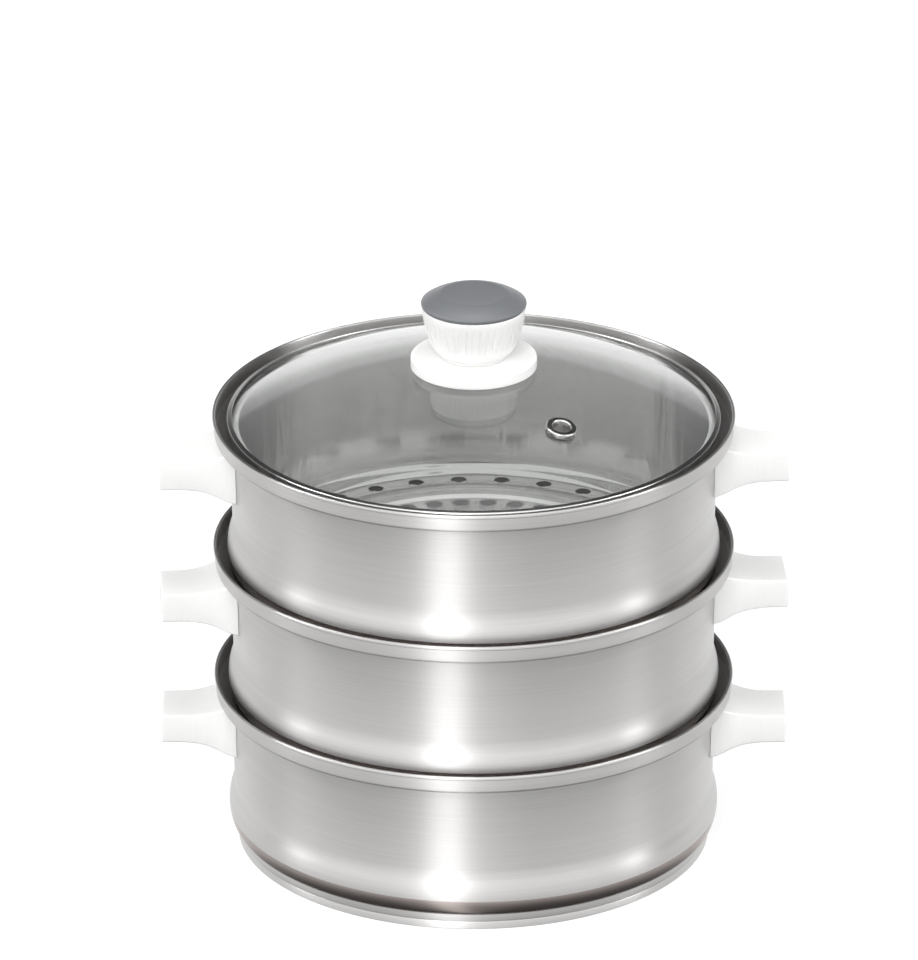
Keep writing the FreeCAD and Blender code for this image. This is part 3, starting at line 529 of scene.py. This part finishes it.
def shell_outline(s):
    """Outline of the spun wall: up the outside from the bottom ring to the folded hem, down the inside."""
    top = s.height
    ledge = top - s.ledge
    centre = (s.bulge - s.roll, s.bulge_height)
    inner_crease = degrees(acos((s.ring - s.sheet - centre[0]) / (s.roll - s.sheet)))
    band = s.seat + s.sheet
    inner_wall = s.wall - s.sheet
    neck = s.lip - s.sheet
    hem = (s.rim - s.seat) / 2
    bead = (s.seat + hem, top - hem)
    groove, groove_height = 0.18, 4.0
    outside = [(s.ring - 0.25, 0.0), (s.ring, 0.25)]
    outside += [(s.ring, groove_height - 0.4), (s.ring - groove, groove_height), (s.ring, groove_height + 0.4)]
    outside += foot_roll(s, 14)
    outside += foot_curve(s, 0.0, 8, s.brow_height)[1:]
    outside += [(s.wall, ledge - s.lip)]
    outside += arc((s.wall + neck, ledge - s.lip), neck, 180, 90, 3)[1:]
    outside += arc((band - s.band_bend, ledge - s.sheet + s.band_bend), s.band_bend, -90, 0, 6)
    outside += [(band, top - s.hem - 0.25), (band - 0.25, top - s.hem), (s.rim - 0.35, top - s.hem)]
    outside += [(s.rim, top - s.hem + 0.35)] + arc(bead, hem, 0, 180, 10)
    inner_bend = s.band_bend - s.sheet
    inside = arc((band - s.band_bend, ledge + inner_bend), inner_bend, 0, -90, 5)
    inside += arc((inner_wall + s.lip, ledge - s.lip), s.lip, 90, 180, 6)
    inside += foot_curve(s, s.sheet, 8)[::-1]
    inside += arc(centre, s.roll - s.sheet, 0, -inner_crease, 8)[1:]
    inside += [(s.ring - s.sheet, 0.25), (s.ring - s.sheet + 0.25, 0.0)]
    return outside + inside


def floor_outline(s, tier):
    """Outline of the pressed floor: a middle panel, a raised field, a steep outer step and a flange."""
    panel, field, edge = FLOOR_LEVELS[tier]
    flange = (s.bulge + s.waist) / 2 - s.sheet - s.fit
    bore = s.tube + s.fit if tier != "upper" else 0.0
    inner_roll = s.roll - s.sheet
    foot = s.bulge_height + s.fit - sqrt(inner_roll**2 - (flange - s.bulge + s.roll) ** 2)
    skin = s.sheet
    corner = 2.0
    middle_run, outer_run = 2.4, 3.4
    ridge_places = (93.0, 101.5)
    rise = [(0.0, 0.0), (0.12, 0.03), (0.3, 0.2), (0.5, 0.5), (0.7, 0.8), (0.88, 0.97), (1.0, 1.0)]
    middle_step = [(s.panel + middle_run * x, panel + (field - panel) * y) for x, y in rise]
    outer_step = [(s.step + outer_run * x, field + (edge - field) * y) for x, y in rise]
    bend = arc((flange - corner, edge - corner), corner, 90, 0, 6)
    ridge = [(-1.8, 0.0), (-1.0, 0.16), (-0.4, 0.42), (0.0, 0.5), (0.4, 0.42), (1.0, 0.16), (1.8, 0.0)]
    ridges = [(middle + x, field + y) for middle in ridge_places for x, y in ridge]
    top = [(bore, panel)] + middle_step + ridges + outer_step + bend + [(flange, foot)]
    bend_under = arc((flange - corner, edge - corner), corner - skin, 0, 90, 6)
    shift = 0.55
    under = [(flange - skin, foot)] + bend_under
    under += [(r + shift, z - skin) for r, z in reversed(outer_step)]
    under += [(r + shift * 0.4, z - skin) for r, z in reversed(middle_step)]
    under += [(bore, panel - skin)]
    return top + under


def punch(s, floor, tier, radius):
    """Punch the rings of steam holes through a floor."""
    level = FLOOR_LEVELS[tier][0]
    punches = []
    depth = 12 * MM
    for ring, count, first in HOLE_RINGS[tier]:
        for i in range(count):
            angle = radians(90 - first - 360 * i / count)
            spot = (ring * cos(angle) * MM, ring * sin(angle) * MM, level * MM)
            bpy.ops.mesh.primitive_cylinder_add(vertices=24, radius=radius * MM, depth=depth, location=spot)
            punches.append(bpy.context.object)
    cutter = join(punches, "punch")
    place(cutter, whole=cutter.matrix_world.copy())
    return cut(floor, cutter)


def tube_outline(s):
    """Outline of the steam tube: a drawn tube with a rolled lip, flanged under the floor."""
    panel = FLOOR_LEVELS["lower"][0]
    under = panel - s.sheet
    flange = 16.5
    top = s.height - s.tube_drop
    inside = s.tube - s.sheet
    outline = [(inside, under - s.sheet), (flange, under - s.sheet), (flange, under), (s.tube, under)]
    outline += [(s.tube, panel + 1.2), (s.tube, top - 1.7)]
    outline += arc((s.tube - 0.1, top - 0.9), 0.6, -60, 90, 6)
    outline += arc((inside + 0.3, top - 0.6), 0.3, 90, 180, 3)
    return outline


def handle_flare(along):
    """Share of the root's flare that is left at a place along the grip, from the wall to the end."""
    knots = [(0.0, 1.0), (0.1, 0.93), (0.2, 0.74), (0.3, 0.48)]
    knots += [(0.42, 0.24), (0.55, 0.09), (0.7, 0.015), (1.0, 0.0)]
    for (a, fa), (b, fb) in zip(knots, knots[1:]):
        if along <= b:
            return fa + (fb - fa) * (along - a) / (b - a)
    return 0.0


def wall_plug(s):
    """A solid of the shell's outside between waist and ledge, to trim what fits against it."""
    gap = s.fit
    foot = s.waist_height - 3.0
    outline = [(0.0, foot), (s.waist + gap, foot), (s.waist + gap, s.waist_height)]
    outline += [(s.wall + gap, s.height - s.ledge - s.lip), (s.wall + gap, s.height), (0.0, s.height)]
    return turned("wall_plug", outline, 160)


def grip(s, h):
    """A moulded grip: a section at the end, extruded towards the wall and flared there, with long edges
    and end rounded, then trimmed to the wall."""
    root = s.wall - s.sheet - 4.0
    length = h.reach - root
    top = s.height - h.drop
    places = [1.0, 0.94, 0.86, 0.76, 0.66, 0.58, 0.5, 0.43, 0.36, 0.3, 0.25, 0.2, 0.15, 0.1, 0.05, 0.0]
    deselect()
    bpy.ops.mesh.primitive_plane_add(size=1.0, rotation=(0, pi / 2, 0))
    piece = bpy.context.object
    piece.name = "grip"
    bpy.ops.object.transform_apply(rotation=True)
    bpy.ops.object.mode_set(mode="EDIT")
    bpy.ops.mesh.select_all(action="SELECT")
    mid = top - h.thick / 2
    bpy.ops.transform.resize(value=(1.0, h.width * MM, h.thick * MM))
    bpy.ops.transform.translate(value=(h.reach * MM, 0, mid * MM))
    now = (h.width, h.thick, mid)
    for here, there in zip(places, places[1:]):
        flare = handle_flare(there)
        width = h.width + flare * (h.root_width - h.width)
        high = top + flare * h.root_rise
        low = top - h.thick - flare * h.root_sag
        step = ((there - here) * length * MM, 0, ((high + low) / 2 - now[2]) * MM)
        bpy.ops.mesh.extrude_region_move(TRANSFORM_OT_translate={"value": step})
        bpy.ops.transform.resize(value=(1.0, width / now[0], (high - low) / now[1]))
        now = (width, high - low, (high + low) / 2)
    bpy.ops.mesh.select_all(action="SELECT")
    bpy.ops.mesh.normals_make_consistent(inside=False)
    bpy.ops.object.mode_set(mode="OBJECT")
    bevel_edges(piece, h.corner, 7, lambda a, b: abs(a.x - b.x) > 1e-5)
    bevel_edges(piece, h.end, 5, lambda a, b: min(a.x, b.x) > (h.reach - 0.01) * MM)
    return cut(piece, wall_plug(s))


def bevel_edges(piece, width, segments, wanted):
    """Round the edges whose two ends pass a test."""
    deselect()
    bpy.context.view_layer.objects.active = piece
    piece.select_set(True)
    for polygon in piece.data.polygons:
        polygon.select = False
    for vertex in piece.data.vertices:
        vertex.select = False
    points = piece.data.vertices
    for edge in piece.data.edges:
        edge.select = wanted(points[edge.vertices[0]].co, points[edge.vertices[1]].co)
    bpy.ops.object.mode_set(mode="EDIT")
    bpy.ops.mesh.select_mode(type="EDGE")
    bpy.ops.object.mode_set(mode="OBJECT")
    for edge in piece.data.edges:
        edge.select = wanted(points[edge.vertices[0]].co, points[edge.vertices[1]].co)
    bpy.ops.object.mode_set(mode="EDIT")
    bpy.ops.mesh.bevel(offset=width * MM, segments=segments, profile=0.5, clamp_overlap=True)
    bpy.ops.mesh.select_mode(type="VERT")
    bpy.ops.object.mode_set(mode="OBJECT")


def shell_finishes(piece, s, finishes_in_order):
    """Brush the outside of the wall, the band and the seat, and spin the inside in lighter steel, as painted
    light. The roll under the bulge gets darker steel, as painted shade."""
    for finish in finishes_in_order:
        piece.data.materials.append(finish)
    wall_top = (s.height - s.ledge - 0.4) * MM
    painted_shade_low, painted_shade_high, painted_light_inside_low = 8.1 * MM, 17.4 * MM, 9.0 * MM
    for polygon in piece.data.polygons:
        middle = polygon.center
        outward = middle.x * polygon.normal.x + middle.y * polygon.normal.y > 0
        if outward:
            # Outward faces of the roll under the bulge get the darker steel: painted shade
            polygon.material_index = 2 if painted_shade_low < middle.z < painted_shade_high else 0
        else:
            # Inward faces of the wall get the lighter inside steel: painted light
            polygon.material_index = 1 if painted_light_inside_low < middle.z < wall_top else 0


class STEAMER_OT_shells(bpy.types.Operator):
    """Spin the three steel walls"""

    bl_idname = "steamer.shells"
    bl_label = "Shells"

    def execute(self, context):
        s = context.scene.steamer_tier
        materials = finishes()
        first = turned("shell", shell_outline(s), ROUND, 32.0)
        # The inside steel is lighter, painted light, and the roll's steel darker, painted shade
        names = ("stainless_steel_brushed_round", "stainless_steel_spun_inside_painted_light", "stainless_steel_foot_roll_painted_shade")
        shell_finishes(first, s, [materials[name] for name in names])
        for tier in TIERS:
            piece = copy_of(first, f"{tier}_wall")
            place(piece, TIER_BASE[tier], TURN[tier])
            dress(piece, None, "brushed_steel", f"{tier}_tier", f"{tier}_shell")
        bpy.data.objects.remove(first)
        return {"FINISHED"}


class STEAMER_OT_floors(bpy.types.Operator):
    """Press the three floors and punch their steam holes"""

    bl_idname = "steamer.floors"
    bl_label = "Floors"

    def execute(self, context):
        s = context.scene.steamer_tier
        materials = finishes()
        for tier in TIERS:
            piece = turned(f"{tier}_plate", floor_outline(s, tier), ROUND, 25.0)
            if tier in HOLE_RINGS:
                punch(s, piece, tier, s.coarse if tier == "upper" else s.fine)
            place(piece, TIER_BASE[tier], TURN[tier])
            plate = materials["stainless_steel_pressed_plate"]
            dress(piece, plate, "bright_steel", f"{tier}_tier", f"{tier}_floor")
        return {"FINISHED"}


class STEAMER_OT_tubes(bpy.types.Operator):
    """Draw the two steam tubes"""

    bl_idname = "steamer.tubes"
    bl_label = "Steam tubes"

    def execute(self, context):
        s = context.scene.steamer_tier
        materials = finishes()
        for tier in ("lower", "middle"):
            piece = turned(f"{tier}_tube", tube_outline(s), FINE_ROUND, 40.0)
            place(piece, TIER_BASE[tier], TURN[tier])
            # The tube's darker steel is painted shade
            dress(piece, materials["stainless_steel_tube_painted_shade"], "bright_steel", f"{tier}_tier", f"{tier}_steam_tube")
        return {"FINISHED"}


class STEAMER_OT_grips(bpy.types.Operator):
    """Mould the six side grips"""

    bl_idname = "steamer.grips"
    bl_label = "Grips"

    def execute(self, context):
        s = context.scene.steamer_tier
        materials = finishes()
        first = grip(s, context.scene.steamer_handle)
        for tier in TIERS:
            for side, turn in (("right", 0.0), ("left", 180.0)):
                piece = copy_of(first, f"{tier}_grip_{side}")
                place(piece, TIER_BASE[tier], TURN[tier] + turn)
                deselect()
                piece.select_set(True)
                bpy.context.view_layer.objects.active = piece
                bpy.ops.object.shade_smooth_by_angle(angle=radians(35))
                node = f"{tier}_handle_{side}"
                dress(piece, materials["polypropylene_white"], "white_plastic", f"{tier}_tier", node)
        bpy.data.objects.remove(first)
        return {"FINISHED"}


# Lid


def glass_radius(lid):
    """Edge of the glass."""
    return lid.radius - lid.sheet - lid.gap


def glass_curve(lid):
    """Radius of the sphere that the glass is part of."""
    return (glass_radius(lid) ** 2 + lid.rise**2) / (2 * lid.rise)


def dome_height(lid, radius, crown):
    """Height of the glass curve at a radius."""
    curve = glass_curve(lid)
    return crown - curve + sqrt(curve**2 - radius**2)


def crown_of(lid):
    """Top of the glass above the lid's base."""
    seat = 0.95
    return seat + lid.rise + lid.glass


def dome_arc(lid, crown, start, end, steps):
    """Points of the glass curve between two radii."""
    radii = [start + (end - start) * i / steps for i in range(steps + 1)]
    return [(radius, dome_height(lid, radius, crown)) for radius in radii]


def vent_frame(lid):
    """The vent's own place on top of the glass, square to it."""
    tilt = asin(lid.vent_place / glass_curve(lid))
    turn = radians(lid.vent_angle - 90)
    height = LID_BASE + dome_height(lid, lid.vent_place, crown_of(lid))
    foot = Vector((lid.vent_place * cos(turn), lid.vent_place * sin(turn), height)) * MM
    return Matrix.Translation(foot) @ Matrix.Rotation(turn, 4, "Z") @ Matrix.Rotation(tilt, 4, "Y")


class STEAMER_OT_lid(bpy.types.Operator):
    """Press the glass dome, its steel band and its vent"""

    bl_idname = "steamer.lid"
    bl_label = "Lid"

    def execute(self, context):
        lid = context.scene.steamer_lid
        materials = finishes()
        edge = glass_radius(lid)
        crown = crown_of(lid)
        bore, vent_bore = 3.6, 5.2
        outline = dome_arc(lid, crown - lid.glass, bore, edge - 0.6, 48)
        outline += [(edge - 0.15, outline[-1][1] + 0.2), (edge, outline[-1][1] + 0.7)]
        upper = dome_arc(lid, crown, edge - 0.9, bore, 48)
        outline += [(edge, upper[0][1] - 0.9), (edge - 0.3, upper[0][1] - 0.25)] + upper
        glass = turned("glass_dome", outline, ROUND, 50.0)
        place(glass, LID_BASE)
        bpy.ops.mesh.primitive_cylinder_add(vertices=48, radius=vent_bore * MM, depth=20 * MM)
        drill = bpy.context.object
        place(drill, whole=vent_frame(lid))
        cut(glass, drill)
        dress(glass, materials["soda_lime_glass_tempered"], "clear_glass", "lid", "lid_glass")

        sheet, top = lid.sheet, 7.1
        inside = lid.radius - sheet
        under, lip = lid.radius - 7.0, lid.radius - 2.6
        band = [(under, 0.0), (inside - 0.1, 0.0)] + arc((inside, sheet), sheet, -90, 0, 5)
        band += [(lid.radius, 5.6)] + arc((lid.radius - 0.9, 5.9), 0.9, 0, 75, 5)
        band += [(lip + 0.2, top + 0.1), (lip, top - 0.1), (lip, top - 0.5)]
        band += [(lip + 0.2, top - 0.7), (inside, 5.7), (inside, sheet), (under, sheet)]
        rim = turned("lid_band", band, ROUND, 40.0)
        place(rim, LID_BASE)
        dress(rim, materials["stainless_steel_satin"], "bright_steel", "lid", "lid_rim")

        bore, barrel, flange, foot, seat = 4.3, 4.9, 7.5, -5.2, 0.15
        eyelet = [(bore, foot), (barrel, foot), (barrel, seat), (flange, seat)]
        eyelet += arc((7.0, 0.75), 0.7, -20, 80, 6) + arc((5.3, 0.75), 0.75, 90, 180, 6)[1:]
        eyelet += [(bore, 0.2)]
        ring = turned("vent_eyelet_rolled", eyelet, FINE_ROUND, 40.0)
        place(ring, whole=vent_frame(lid))
        dress(ring, materials["stainless_steel_satin"], "bright_steel", "lid", "vent_eyelet")
        return {"FINISHED"}


def flute_cutter(lid, base):
    """Long thin drops, laid in a ring along the side of the cup, that press its flutes."""
    low, high = (21.0, 5.6), (25.75, 24.0)  # radius, and height above the collar
    lean = atan2(high[0] - low[0], high[1] - low[1])
    out = 0.55
    drop_size = (0.56 * MM, 1.0 * MM, 13.0 * MM)
    reach = (low[0] + high[0]) / 2 + out * cos(lean)
    level = (low[1] + high[1]) / 2 - out * sin(lean) + base
    drops = []
    for i in range(lid.flutes):
        turn = 2 * pi * i / lid.flutes
        spot = (reach * cos(turn) * MM, reach * sin(turn) * MM, level * MM)
        bpy.ops.mesh.primitive_uv_sphere_add(segments=16, ring_count=16, radius=1.0, location=spot)
        drop = bpy.context.object
        drop.scale = drop_size
        drop.rotation_euler = (0, lean, turn)
        drops.append(drop)
    cutter = join(drops, "flute_cutter")
    return place(cutter, whole=cutter.matrix_world.copy())


class STEAMER_OT_knob(bpy.types.Operator):
    """Mould the collar, the fluted knob and its cap"""

    bl_idname = "steamer.knob"
    bl_label = "Knob"

    def execute(self, context):
        lid = context.scene.steamer_lid
        materials = finishes()
        crown = crown_of(lid) + 0.15
        collar_top = crown_of(lid) + lid.collar_height
        skirt = lid.collar - 1.6
        bore, recess, recess_depth, bore_depth = 4.05, 21.15, 1.75, 9.9
        foot = dome_height(lid, lid.collar, crown)
        edge = foot + lid.collar_edge
        outline = [(bore, crown), (skirt, crown), (skirt, dome_height(lid, skirt, crown))]
        outline += [(lid.collar - 0.3, foot)]
        outline += [(lid.collar, foot + 0.4)] + arc((lid.collar - 1.3, edge - 1.3), 1.3, 0, 84, 7)
        outline += [(27.0, edge + 0.05), (22.0, collar_top - 0.05), (17.6, collar_top)]
        outline += [(bore, collar_top)]
        collar = turned("collar", outline, 160, 35.0)
        place(collar, LID_BASE)
        dress(collar, materials["polypropylene_white"], "white_plastic", "lid", "knob_collar")

        top = collar_top + lid.knob_height
        side = [(15.6, 0.0), (16.3, 0.15), (16.6, 0.6), (16.3, 1.05), (16.0, 1.3), (16.4, 1.6), (17.5, 2.2)]
        side += [(18.7, 3.1), (19.8, 4.1), (20.7, 5.2), (21.5, 6.8), (22.25, 8.8), (22.9, 11.0)]
        side += [(23.55, 13.0), (24.15, 15.2)]
        side += [(24.75, 18.0), (25.3, 20.8), (25.7, 23.4), (25.95, 25.6), (25.85, 26.1), (25.6, 26.3)]
        side = [(r, collar_top + z) for r, z in side]
        body = [(bore, collar_top)] + side + [(recess, top), (recess, top - recess_depth)]
        body += [(0.0, top - recess_depth), (0.0, collar_top + bore_depth), (bore, collar_top + bore_depth)]
        knob = turned("knob_cup", body, 144, 50.0)
        cut(knob, flute_cutter(lid, collar_top))
        place(knob, LID_BASE)
        bpy.ops.object.shade_smooth_by_angle(angle=radians(38))
        dress(knob, materials["polypropylene_white"], "white_plastic", "lid", "knob_body")

        high = top + lid.cap_height
        cap = [(0.0, top - 1.6), (21.0, top - 1.6), (21.0, top), (lid.cap - 0.5, top)]
        cap += arc((lid.cap - 1.4, top + 1.3), 1.4, -40, 35, 6)
        cap += [(lid.cap - 1.5, top + 2.7), (lid.cap - 3.1, top + 3.9), (lid.cap - 5.2, top + 4.95)]
        cap += [(lid.cap - 7.6, top + 5.8)]
        cap += [(17.4, high - 0.18), (16.6, high - 0.02), (15.8, high), (14.8, high - 0.12), (12.0, high - 0.4)]
        cap += [(6.0, high - 0.58), (0.0, high - 0.62)]
        lid_cap = turned("knob_top", cap, 160, 60.0)
        place(lid_cap, LID_BASE)
        dress(lid_cap, materials["rubberised_grey"], "grey_plastic", "lid", "knob_cap")
        return {"FINISHED"}


class STEAMER_OT_fasteners(bpy.types.Operator):
    """Finish the screws, insert, washer and seal that the model already holds"""

    bl_idname = "steamer.fasteners"
    bl_label = "Fasteners"

    def execute(self, context):
        materials = finishes()
        steel = materials["stainless_steel_bright"]
        small = {"knob_insert": steel, "knob_screw": steel, "knob_washer": steel, "vent_ring": steel}
        small.update({f"{tier}_handle_screws": steel for tier in TIERS})
        small["knob_seal"] = materials["silicone_seal"]
        for node, material in small.items():
            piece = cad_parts[node]
            piece.data.materials.clear()
            piece.data.materials.append(material)
        return {"FINISHED"}


# Stage

# Camera: height above level in degrees, then the height it frames, its lens, its sensor and the point it
# looks at, in millimetres
ELEVATION = 23.4
FRAME_HEIGHT = 478.0
LENS = 420.0
SENSOR = 36.0
AIM = (-7.3, 0.0, 191.1)


def window(tree, value, low, high):
    """A soft window: 1 where a value lies between two ends, each a pair of places where it fades."""
    up, down = (
        add_node(
            tree,
            "ShaderNodeMapRange",
            {"Value": value, "From Min": start, "From Max": end},
            interpolation_type="SMOOTHSTEP",
        )
        for start, end in (low, high[::-1])
    )
    return add_node(tree, "ShaderNodeMath", {0: up, 1: down}, operation="MULTIPLY")


# Soft boxes: direction in degrees right of the camera, half width, fade, lowest and highest height
# (as the sine of the elevation), and radiance
SOFT_BOXES = [
    (-5.0, 60.0, 22.0, 0.16, 0.86, 1.45),
    (-10.0, 10.0, 34.0, -1.1, 0.1, 0.2),
    (-13.0, 3.5, 9.0, -1.1, 0.2, 1.0),
    (-13.0, 4.0, 7.0, 0.34, 0.86, 5.5),
    (84.0, 3.0, 4.0, 0.3, 0.86, 12.0),
    (-92.0, 3.0, 4.0, 0.3, 0.86, 12.0),
    (180.0, 50.0, 40.0, -0.1, 0.24, 0.35),
]


# The box overhead: the heights between which it comes up, and its radiance
OVERHEAD = (0.92, 0.96, 2.4)
# Light of the table and the room by height, from straight down at 0 to straight up at 1
TABLE_LIGHT = [(0.0, 0.06), (0.12, 0.1), (0.19, 0.3), (0.24, 0.82), (0.29, 1.0)]
TABLE_LIGHT += [(0.53, 1.0), (0.6, 0.35), (0.66, 0.04), (1.0, 0.02)]
TABLE_RADIANCE = 1.04


def studio_sky(world):
    """A dark studio over a white table: light from a broad box with a bright strip before the object,
    two side strips, a weak box behind and one overhead. The camera sees white, also through the glass."""
    world.use_nodes = True
    tree = world.node_tree
    tree.nodes.clear()
    output = add_node(tree, "ShaderNodeOutputWorld")
    way = add_node(tree, "ShaderNodeTexCoord").outputs["Generated"]
    parts = add_node(tree, "ShaderNodeSeparateXYZ", {"Vector": way})
    height = parts.outputs["Z"]
    forward = add_node(tree, "ShaderNodeMath", {0: parts.outputs["Y"], 1: -1.0}, operation="MULTIPLY")
    turn = add_node(tree, "ShaderNodeMath", {0: parts.outputs["X"], 1: forward}, operation="ARCTAN2")
    table = add_node(tree, "ShaderNodeMapRange", {"Value": height, "From Min": -1.0, "From Max": 1.0})
    level = add_node(tree, "ShaderNodeValToRGB", {"Fac": table})
    elements = level.color_ramp.elements
    while len(elements) < len(TABLE_LIGHT):
        elements.new(0.5)
    for element, (spot, grey) in zip(elements, TABLE_LIGHT):
        element.position = spot
        element.color = (grey, grey, grey, 1.0)
    light = add_node(tree, "ShaderNodeMath", {0: level, 1: TABLE_RADIANCE}, operation="MULTIPLY")
    for bearing, half, fade, low, high, radiance in SOFT_BOXES:
        apart = add_node(tree, "ShaderNodeMath", {0: turn, 1: radians(bearing)}, operation="SUBTRACT")
        apart = add_node(tree, "ShaderNodeMath", {0: apart}, operation="ABSOLUTE")
        other_way = add_node(tree, "ShaderNodeMath", {0: 2 * pi, 1: apart}, operation="SUBTRACT")
        apart = add_node(tree, "ShaderNodeMath", {0: apart, 1: other_way}, operation="MINIMUM")
        across = window(tree, apart, (-2.0, -1.0), (radians(half), radians(half + fade)))
        up = window(tree, height, (low - 0.04, low + 0.08), (high, high + 0.06))
        box = add_node(tree, "ShaderNodeMath", {0: across, 1: up}, operation="MULTIPLY")
        light = add_node(tree, "ShaderNodeMath", {0: box, 1: radiance, 2: light}, operation="MULTIPLY_ADD")
    top = window(tree, height, OVERHEAD[:2], (2.0, 3.0))
    light = add_node(tree, "ShaderNodeMath", {0: top, 1: OVERHEAD[2], 2: light}, operation="MULTIPLY_ADD")
    path = add_node(tree, "ShaderNodeLightPath")
    rays = {0: path.outputs["Is Camera Ray"], 1: path.outputs["Is Transmission Ray"]}
    seen = add_node(tree, "ShaderNodeMath", rays, operation="MAXIMUM")
    white = 1.0
    strength = add_node(tree, "ShaderNodeMix", {"Factor": seen, 2: light, 3: white}, data_type="FLOAT")
    back = add_node(tree, "ShaderNodeBackground", {"Strength": strength, "Color": (white, white, white, 1.0)})
    tree.links.new(back.outputs["Background"], output.inputs["Surface"])


class STEAMER_OT_stage(bpy.types.Operator):
    """Set the floor, the light and the camera"""

    bl_idname = "steamer.stage"
    bl_label = "Stage"

    def execute(self, context):
        deselect()
        bpy.ops.mesh.primitive_plane_add(size=24.0)
        floor = bpy.context.object
        floor.name = "paper_floor"
        floor.data.materials.append(finishes()["white_paper_sweep"])
        scene = context.scene
        scene.world = bpy.data.worlds.new("studio")
        studio_sky(scene.world)
        scene.view_settings.view_transform = "Standard"

        distance = LENS / SENSOR * FRAME_HEIGHT * MM
        tilt = radians(ELEVATION)
        target = Vector(AIM) * MM
        spot = target + Vector((0, -cos(tilt), sin(tilt))) * distance
        bpy.ops.object.camera_add(location=spot, rotation=(pi / 2 - tilt, 0, 0))
        camera = bpy.context.object
        camera.name = "catalogue_camera"
        camera.data.lens = LENS
        camera.data.clip_end = 60.0
        scene.camera = camera
        return {"FINISHED"}


class STEAMER_PT_panel(bpy.types.Panel):
    """Lists the steps in the order they are made"""

    bl_label = "Food steamer"
    bl_idname = "STEAMER_PT_panel"
    bl_space_type = "VIEW_3D"
    bl_region_type = "UI"
    bl_category = "Steamer"

    def draw(self, context):
        for operator in OPERATORS:
            self.layout.operator(operator.bl_idname)


OPERATORS = [
    STEAMER_OT_shells,
    STEAMER_OT_floors,
    STEAMER_OT_tubes,
    STEAMER_OT_grips,
    STEAMER_OT_lid,
    STEAMER_OT_knob,
    STEAMER_OT_fasteners,
    STEAMER_OT_stage,
]
GROUPS = [TierSizes, HandleSizes, LidSizes, FinishColours]


def register():
    for item in GROUPS + OPERATORS + [STEAMER_PT_panel]:
        bpy.utils.register_class(item)
    bpy.types.Scene.steamer_tier = bpy.props.PointerProperty(type=TierSizes)
    bpy.types.Scene.steamer_handle = bpy.props.PointerProperty(type=HandleSizes)
    bpy.types.Scene.steamer_lid = bpy.props.PointerProperty(type=LidSizes)
    bpy.types.Scene.steamer_colours = bpy.props.PointerProperty(type=FinishColours)


def unregister():
    for name in ("steamer_tier", "steamer_handle", "steamer_lid", "steamer_colours"):
        delattr(bpy.types.Scene, name)
    for item in reversed(GROUPS + OPERATORS + [STEAMER_PT_panel]):
        bpy.utils.unregister_class(item)


def main():
    register()
    bpy.ops.steamer.shells()
    bpy.ops.steamer.floors()
    bpy.ops.steamer.tubes()
    bpy.ops.steamer.grips()
    bpy.ops.steamer.lid()
    bpy.ops.steamer.knob()
    bpy.ops.steamer.fasteners()
    bpy.ops.steamer.stage()


if __name__ == "__main__":
    main()
